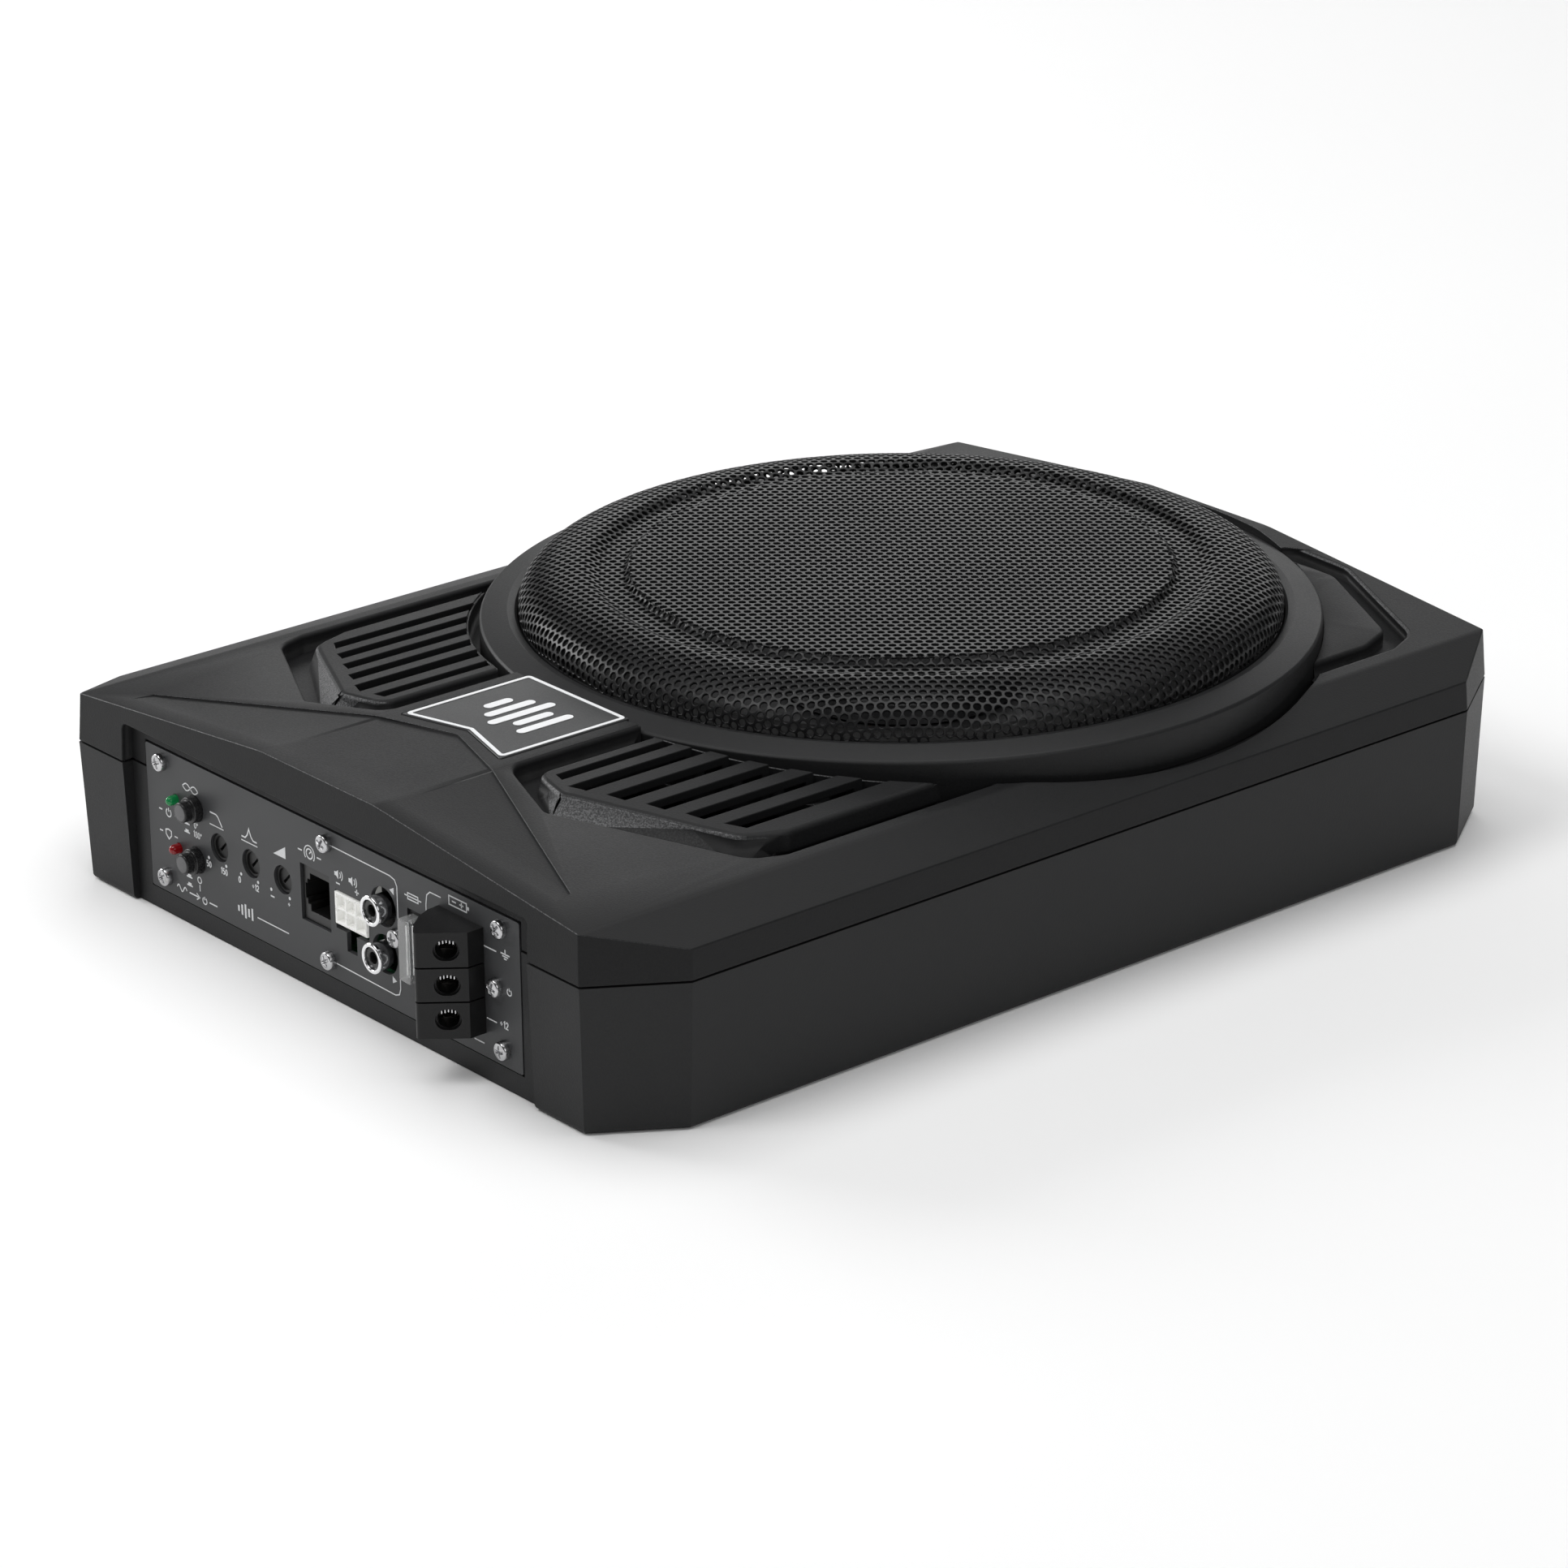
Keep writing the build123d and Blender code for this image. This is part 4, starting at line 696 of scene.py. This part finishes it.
def pan_screws():
    verts, faces = [], []
    R, H, A, K = 2.85, 2.35, 96, 20
    for (x, z), spin in zip(SCREWS_XZ, SPIN):
        start = len(verts)
        s = math.radians(spin)
        radii = [R * k / K for k in range(1, K + 1)]

        def height(r, a):
            t = r / R
            h = H * (1 - 0.22 * t * t) if t < 0.86 else H * (1 - 0.22 * 0.74) * math.sqrt(max(0.0, 1 - ((t - 0.86) / 0.14) ** 2)) * 0.62 + H * 0.78 * 0.38
            u, w = r * math.cos(a - s), r * math.sin(a - s)
            best = 9.0
            for p, q in ((u, w), (w, u)):
                half = 0.46 * (1.0 - 0.25 * min(1.0, abs(p) / 1.7))
                best = min(best, max(abs(q) - half, abs(p) - 1.7))
            cut = max(0.0, min(1.0, (0.12 - best) / 0.24))
            return h - 1.25 * cut * (1.0 - 0.35 * min(1.0, r / 1.7))
        verts.append((0, 0, height(0.0, 0.0)))
        for r in radii:
            for k in range(A):
                a = 2 * math.pi * k / A
                verts.append((r * math.cos(a), r * math.sin(a), height(r, a)))
        for k in range(A):
            a = 2 * math.pi * k / A
            verts.append((R * math.cos(a), R * math.sin(a), 0.02))
        for k in range(A):
            k2 = (k + 1) % A
            faces.append((start, start + 1 + k, start + 1 + k2))
            for j in range(K):
                p, q = start + 1 + j * A, start + 1 + (j + 1) * A
                faces.append((p + k, q + k, q + k2, p + k2))
        last = start + 1 + K * A
        faces.append(tuple(last + k for k in range(A))[::-1])
        T = toward_panel(x, PANEL_Y, z)
        for i in range(start, len(verts)):
            verts[i] = tuple(T @ (Vector(verts[i]) * MM))
        v, f = lathe_mesh([(0, 0.015), (1.2, 0.015), (1.2, -5.6), (0.7, -6.0), (0, -6.0)] if (x, z) != SCREWS_XZ[7] and (x, z) != SCREWS_XZ[6] else [(0, 0.015), (1.2, 0.015), (1.2, -2.8), (0, -3.0)], 20, T, False)
        off = len(verts)
        verts += v
        faces += [tuple(i + off for i in q) for q in f]
    return fix_normals(new_object("panel_screw_heads", verts, faces, "chrome_screw", replaces=("panel_screws",), smooth=42))


pan_screws()

# push buttons: black collar and tip with a paler face
BUTTON_XZ = [(-65.3, 38.6), (-65.6, 22.2)]
for name, (x, z) in zip(("phase_button", "auto_on_button"), BUTTON_XZ):
    prof = rounded([(0, 5.5), (3.1, 5.5), (3.1, 2.75), (4.05, 2.75), (4.05, -6.5), (1.6, -6.5), (1.6, -12.3), (0, -12.3)], [0, 0.45, 0.2, 0.5, 0.2, 0.1, 0.3, 0], 5)
    prof = [p for p in prof]
    v, f = lathe_mesh(prof, 64, toward_panel(x, PANEL_Y, z), False)
    fix_normals(new_object(name + "_cap", v, f, "button_grey", body=name, replaces=(name,)))
    v, f = lathe_mesh([(0, 5.56), (1.2, 5.555), (2.2, 5.53), (2.45, 5.51), (2.45, 5.46), (0, 5.46)], 64, toward_panel(x, PANEL_Y, z), False)
    fix_normals(new_object(name + "_face", v, f, "button_grey", body=name, mat="button_face"))

# indicator lamps
for name, slot, (x, z) in (("power_led", "led_green", (-75.2, 38.5)), ("protect_led", "led_red", (-74.7, 23.2))):
    prof = [(0, 3.4)] + [(1.5 * math.sin(math.radians(a)), 1.9 + 1.5 * math.cos(math.radians(a))) for a in range(10, 91, 10)] + [(1.5, -3.4), (1.85, -3.45), (1.85, -4.4), (0, -4.4)]
    v, f = lathe_mesh(prof, 40, toward_panel(x, PANEL_Y, z), False)
    fix_normals(new_object(name + "_lens", v, f, slot, replaces=(name,)))
    legs_v, legs_f = [], []
    for d in (-0.9, 0.9):
        T = toward_panel(x + d, PANEL_Y, z)
        vv, ff = lathe_mesh([(0, -4.5), (0.28, -4.5), (0.28, -16.4), (0, -16.4)], 8, T, False)
        o0 = len(legs_v)
        legs_v += vv
        legs_f += [tuple(i + o0 for i in q) for q in ff]
    fix_normals(new_object(name + "_legs", legs_v, legs_f, slot, mat="tin_pin"))

# phono jacks
RCA_XZ = [(27.0, 37.2), (27.0, 22.7)]
vs, fs, vi, fi, vc, fc = [], [], [], [], [], []
for x, z in RCA_XZ:
    T = toward_panel(x, PANEL_Y, z)
    for (V, F), prof, seg in (((vs, fs), rounded([(4.15, -4.5), (4.15, 3.6), (4.6, 3.9), (4.6, 5.0), (3.35, 5.0), (3.35, -4.5)], [0, 0.2, 0.25, 0.45, 0.35, 0], 4), 96),
                              ((vi, fi), rounded([(3.3, -4.5), (3.3, 4.2), (1.75, 4.2), (1.75, -3.0), (0.95, -3.0), (0.95, -4.5)], [0, 0.3, 0.35, 0.1, 0, 0], 4), 64),
                              ((vc, fc), rounded([(1.68, -2.9), (1.68, 0.8), (1.32, 0.8), (1.32, -2.7), (0.9, -2.9), (0.9, -12.5), (0, -12.5), (0, -2.9)], 0.05, 2), 40)):
        a, b = lathe_mesh(prof, seg, T)
        o0 = len(V)
        V += a
        F += [tuple(i + o0 for i in q) for q in b]
fix_normals(new_object("phono_barrels", vs, fs, "phono_chrome", replaces=("phono_shells",)))
fix_normals(new_object("phono_inserts", vi, fi, "phono_black", replaces=("phono_insulators",)))
fix_normals(new_object("phono_centres", vc, fc, "gold_contact", replaces=("phono_contacts",)))


# ------------------------------------------------------------------ screen print on the plate
class Print:
    def __init__(self, y0, y1):
        self.v, self.f, self.y0, self.y1 = [], [], y0, y1

    def prism(self, loop):
        """loop is a list of (x, z) in mm, convex or not."""
        n = len(loop)
        o = len(self.v)
        self.v += [(x * MM, self.y0 * MM, z * MM) for x, z in loop] + [(x * MM, self.y1 * MM, z * MM) for x, z in loop]
        self.f.append(tuple(range(o, o + n)))
        self.f.append(tuple(range(o + 2 * n - 1, o + n - 1, -1)))
        for i in range(n):
            j = (i + 1) % n
            self.f.append((o + i, o + n + i, o + n + j, o + j))

    def line(self, pts, w=0.42, closed=False):
        P = [np.array(p, float) for p in pts]
        n = len(P)
        left, right = [], []
        for i in range(n):
            a = P[i - 1] if (i or closed) else None
            b = P[(i + 1) % n] if (i < n - 1 or closed) else None
            d0 = (P[i] - a) if a is not None else (b - P[i])
            d1 = (b - P[i]) if b is not None else (P[i] - a)
            d0, d1 = d0 / max(np.linalg.norm(d0), 1e-9), d1 / max(np.linalg.norm(d1), 1e-9)
            n0, n1 = np.array([-d0[1], d0[0]]), np.array([-d1[1], d1[0]])
            m = n0 + n1
            m = m * (w / max(float(m @ m), 0.35))
            left.append(P[i] + m)
            right.append(P[i] - m)
        o = len(self.v)
        for y in (self.y0, self.y1):
            self.v += [(q[0] * MM, y * MM, q[1] * MM) for q in left] + [(q[0] * MM, y * MM, q[1] * MM) for q in right]
        L0, R0, L1, R1 = o, o + n, o + 2 * n, o + 3 * n
        for i in range(n if closed else n - 1):
            j = (i + 1) % n
            self.f += [(L0 + i, L0 + j, R0 + j, R0 + i), (L1 + i, R1 + i, R1 + j, L1 + j), (L0 + i, L1 + i, L1 + j, L0 + j), (R0 + i, R0 + j, R1 + j, R1 + i)]
        if not closed:
            self.f += [(L0, R0, R1, L1), (L0 + n - 1, L1 + n - 1, R1 + n - 1, R0 + n - 1)]

    def arc(self, cx, cz, r, a0, a1, w=0.42, n=20):
        full = abs(a1 - a0) >= 359.9
        pts = [(cx + r * math.cos(math.radians(a0 + (a1 - a0) * k / n)), cz + r * math.sin(math.radians(a0 + (a1 - a0) * k / n))) for k in range(n if full else n + 1)]
        self.line(pts, w, full)

    def disc(self, cx, cz, r, n=20):
        self.prism([(cx + r * math.cos(2 * math.pi * k / n), cz + r * math.sin(2 * math.pi * k / n)) for k in range(n)])

    def digits(self, s, x, z, h, w=0.34):
        """Numerals drawn as strokes; (x, z) is the lower left corner."""
        W = h * 0.56
        for ch in s:
            if ch == "0":
                self.line([(x + W / 2 + W * 0.42 * math.cos(t), z + h / 2 + h * 0.46 * math.sin(t)) for t in [2 * math.pi * k / 16 for k in range(16)]], w, True)
            elif ch == "1":
                self.line([(x + W * 0.2, z + h * 0.78), (x + W * 0.52, z + h * 0.96), (x + W * 0.52, z)], w)
            elif ch == "2":
                self.line([(x + W * 0.08, z + h * 0.72), (x + W * 0.2, z + h * 0.92), (x + W * 0.5, z + h * 0.98), (x + W * 0.82, z + h * 0.88), (x + W * 0.86, z + h * 0.66), (x + W * 0.5, z + h * 0.34), (x + W * 0.08, z + 0.04 * h), (x + W * 0.92, z + 0.04 * h)], w)
            elif ch == "5":
                self.line([(x + W * 0.84, z + h * 0.96), (x + W * 0.2, z + h * 0.96), (x + W * 0.14, z + h * 0.56), (x + W * 0.52, z + h * 0.62), (x + W * 0.86, z + h * 0.46), (x + W * 0.86, z + h * 0.2), (x + W * 0.5, z + h * 0.03), (x + W * 0.1, z + h * 0.12)], w)
            elif ch == "8":
                self.arc(x + W / 2, z + h * 0.73, h * 0.21, 0, 360, w, 12)
                self.arc(x + W / 2, z + h * 0.27, h * 0.25, 0, 360, w, 14)
            elif ch == "+":
                self.line([(x + W * 0.05, z + h * 0.5), (x + W * 0.95, z + h * 0.5)], w)
                self.line([(x + W * 0.5, z + h * 0.22), (x + W * 0.5, z + h * 0.78)], w)
            elif ch == "o":
                self.arc(x + W * 0.35, z + h * 0.82, h * 0.13, 0, 360, w * 0.8, 10)
            x += W * (1.22 if ch != "1" else 0.95)

    def power(self, x, z, r, w=0.4):
        self.arc(x, z, r, 125, 415, w)
        self.line([(x, z + r * 0.25), (x, z + r * 1.25)], w)

    def wave(self, x0, x1, z, h, turns=1.0, phase=0.0, w=0.38):
        self.line([(x0 + (x1 - x0) * k / 24, z + h * math.sin(phase + 2 * math.pi * turns * k / 24)) for k in range(25)], w)


P = Print(-172.56, -172.49)
# phase switch: two waves in opposite phase
P.wave(-71.2, -63.4, 44.2, 1.1, 1.0)
P.wave(-71.2, -63.4, 44.2, 1.1, 1.0, math.pi)
P.power(-79.3, 33.0, 1.25)
P.line([(-82.6, 33.1), (-84.2, 33.1)]); P.line([(-76.0, 33.1), (-74.4, 33.1)])
P.line([(-81.2, 27.2), (-79.8, 27.6), (-78.4, 27.2), (-78.4, 25.8), (-79.8, 24.5), (-81.2, 25.8)], 0.42, True)
P.line([(-84.4, 26.2), (-82.8, 26.2)]); P.line([(-76.8, 26.2), (-75.2, 26.2)])
for z, up in ((33.0, 1.3), (30.3, 0.6), (16.0, 1.3), (13.3, 0.6)):
    P.prism([(-71.4, z - 0.8), (-68.6, z - 0.8), (-68.6, z - 0.35), (-71.4, z - 0.35)])
    P.prism([(-70.8, z - 0.3), (-69.2, z - 0.3), (-69.2, z - 0.3 + up), (-70.8, z - 0.3 + up)])
P.digits("0o", -66.2, 32.2, 1.9)
P.digits("180o", -66.8, 29.4, 1.9)
P.arc(-64.8, 16.0, 0.95, 0, 360, 0.4)
P.line([(-64.8, 12.5), (-64.8, 14.5)], 0.45)
# automatic turn-on: a signal, an arrow and the power sign
P.wave(-76.8, -71.8, 10.3, 0.9, 1.5)
P.line([(-70.4, 10.3), (-65.4, 10.3)]); P.line([(-66.7, 11.3), (-65.2, 10.3), (-66.7, 9.3)])
P.power(-62.6, 10.1, 1.05)
P.line([(-60.2, 10.3), (-56.2, 10.3)])
# low pass, boost and gain curves
P.line([(-57.6, 40.0), (-54.6, 40.0), (-53.6, 39.5), (-51.6, 36.8)]); P.line([(-58.0, 36.2), (-51.0, 36.2)], 0.3)
P.line([(-41.8, 37.4), (-40.0, 37.4), (-38.9, 38.5), (-38.0, 40.6), (-37.1, 38.5), (-36.0, 37.4), (-34.2, 37.4)]); P.line([(-42.0, 36.2), (-34.0, 36.2)], 0.3)
P.prism([(-26.0, 36.9), (-20.0, 36.9), (-20.0, 40.6)])
for x in (-59.3, -50.5, -43.0, -34.5, -27.9, -18.8):
    P.disc(x, 25.0, 0.5)
P.digits("50", -60.6, 22.0, 1.9); P.digits("150", -53.4, 22.0, 1.9)
P.digits("0", -44.4, 22.0, 1.9); P.digits("+12", -37.6, 22.0, 1.9)
P.line([(-28.3, 22.9), (-26.5, 22.9)]); P.digits("+", -19.8, 22.0, 1.9)
# wired level control: a knob with its travel
P.arc(-8.0, 42.3, 1.5, 0, 360); P.line([(-8.0, 42.4), (-7.0, 43.4)], 0.4); P.arc(-8.0, 42.3, 2.5, -40, 220, 0.34)
P.line([(-13.6, 42.3), (-11.6, 42.3)]); P.line([(-4.4, 42.3), (-2.4, 42.3)])
# speaker-level input: two small speakers
for x in (5.6, 12.4):
    P.prism([(x - 1.6, 39.7), (x - 0.8, 39.7), (x + 0.2, 38.9), (x + 0.2, 41.7), (x - 0.8, 40.9), (x - 1.6, 40.9)])
    P.arc(x + 0.2, 40.3, 1.1, -50, 50, 0.34, 8); P.arc(x + 0.2, 40.3, 2.0, -45, 45, 0.34, 8)
P.line([(4.6, 37.5), (6.4, 37.5)]); P.line([(13.6, 37.5), (15.4, 37.5)]); P.line([(14.5, 36.6), (14.5, 38.4)])
P.prism([(30.3, 43.6), (32.3, 44.7), (32.3, 42.5)]); P.prism([(32.3, 16.0), (30.3, 17.1), (30.3, 14.9)])
# fuse, battery, earth, turn-on, supply
P.line([(38.9, 43.6), (43.7, 43.6), (43.7, 45.4), (38.9, 45.4)], 0.36, True); P.line([(37.4, 44.5), (45.2, 44.5)], 0.36)
P.line([(58.2, 48.2), (66.2, 48.2), (66.2, 50.8), (58.2, 50.8)], 0.4, True); P.prism([(66.5, 49.0), (67.3, 49.0), (67.3, 50.0), (66.5, 50.0)])
P.line([(59.6, 49.5), (61.4, 49.5)]); P.line([(63.0, 49.5), (64.8, 49.5)]); P.line([(63.9, 48.7), (63.9, 50.3)])
P.line([(73.7, 40.8), (79.2, 40.8)], 0.36)
P.line([(83.2, 42.6), (83.2, 41.2)]); P.line([(81.2, 41.2), (85.2, 41.2)]); P.line([(81.9, 40.5), (84.5, 40.5)], 0.36); P.line([(82.6, 39.8), (83.8, 39.8)], 0.36)
P.power(84.6, 30.3, 0.95, 0.36)
P.line([(74.0, 19.2), (78.5, 19.2)], 0.36); P.digits("+12", 80.0, 18.6, 2.1)
P.line([(68.0, 10.9), (72.5, 10.9)], 0.36)
P.line([(2.9, 48.2), (30.6, 47.9), (32.9, 47.3), (33.9, 45.6), (33.9, 32.9)], 0.34); P.line([(33.9, 26.9), (33.9, 14.2), (33.2, 12.3), (31.4, 11.6), (3.2, 12.0)], 0.34)
P.line([(47.4, 41.6), (47.4, 44.6), (47.9, 47.6), (49.4, 48.9), (54.4, 48.9)], 0.34)
# small level bars near the lower edge
for i, h in enumerate((1.8, 3.2, 4.4, 2.6, 3.8)):
    x = -45.0 + 1.7 * i
    P.line([(x, 13.6 - h / 2), (x, 13.6 + h / 2)], 0.8)
P.line([(-35.6, 13.6), (-20.0, 13.6)], 0.34)
fix_normals(new_object("panel_print", P.v, P.f, "panel_paint", mat="print_ink", smooth=30))

# ------------------------------------------------------------------ floor, lights, camera
bpy.ops.mesh.primitive_plane_add(size=9.0, location=(0, 0, -0.0002))
floor = bpy.context.object
floor.name = "floor"
ft = Tree("floor_paint")
n1 = ft.noise(900.0, 2.0)
n2 = ft.noise(3.0, 2.0)
ft.link(ft.mix(ft.spread(n1, 0.3, 0.7, 0.0, 1.0), (0.93, 0.93, 0.93), (0.955, 0.955, 0.955)), ft.bsdf.inputs["Base Color"])
ft.link(ft.spread(n2, 0.3, 0.7, 0.82, 0.9), ft.bsdf.inputs["Roughness"])
ft.bsdf.inputs["Specular IOR Level"].default_value = 0.1
floor.data.materials.append(ft.mat)

world = bpy.data.worlds.new("studio")
world.use_nodes = True
bg = world.node_tree.nodes["Background"]
bg.inputs[0].default_value = (1.0, 1.0, 1.0, 1.0)
bg.inputs[1].default_value = 0.08
bpy.context.scene.world = world


def area(name, loc, target, sx, sy, power):
    d = bpy.data.lights.new(name, "AREA")
    d.shape = "RECTANGLE"
    d.size, d.size_y, d.energy = sx, sy, power
    o = bpy.data.objects.new(name, d)
    bpy.context.scene.collection.objects.link(o)
    o.location = loc
    o.rotation_euler = (Vector(target) - Vector(loc)).to_track_quat("-Z", "Y").to_euler()
    return o


area("top_softbox", (0.0, 0.3, 2.3), (0, 0, 0.05), 2.4, 2.0, 36.0)
area("front_key", (-0.33, -1.35, 2.05), (0, 0, 0.05), 0.9, 0.9, 15.0)
area("back_sweep", (-1.7, 2.0, 0.9), (0, 0.05, 0.06), 2.2, 1.0, 12.5)
area("left_fill", (-2.3, -0.7, 1.0), (0, 0, 0.05), 1.4, 1.2, 36.0)
area("right_fill", (2.2, -0.5, 1.2), (0, 0, 0.04), 1.4, 1.2, 12.0)

AZ, EL, ROLL = (math.radians(v) for v in (50.0034, 22.09697, -0.584173))
F_PX, TX, TY, D = 6912.902, 2.24617, -18.27955, 1709.2914
back = np.array([math.sin(AZ) * math.cos(EL), -math.cos(AZ) * math.cos(EL), math.sin(EL)])
right = np.array([math.cos(AZ), math.sin(AZ), 0.0])
up = np.cross(back, right)
c, s = math.cos(ROLL), math.sin(ROLL)
R = np.array([c * right + s * up, -s * right + c * up, back])
C = R.T @ np.array([-TX, -TY, D]) * MM
cam_data = bpy.data.cameras.new("camera")
cam_data.sensor_fit = "HORIZONTAL"
cam_data.sensor_width = 36.0
cam_data.lens = F_PX / 1932.0 * 36.0
cam_data.clip_start, cam_data.clip_end = 0.05, 30.0
cam = bpy.data.objects.new("camera", cam_data)
bpy.context.scene.collection.objects.link(cam)
M4 = Matrix.Identity(4)
for i in range(3):
    for j in range(3):
        M4[i][j] = float(R[j][i])
    M4[i][3] = float(C[i])
cam.matrix_world = M4
bpy.context.scene.camera = cam
bpy.context.scene.view_settings.view_transform = "Standard"
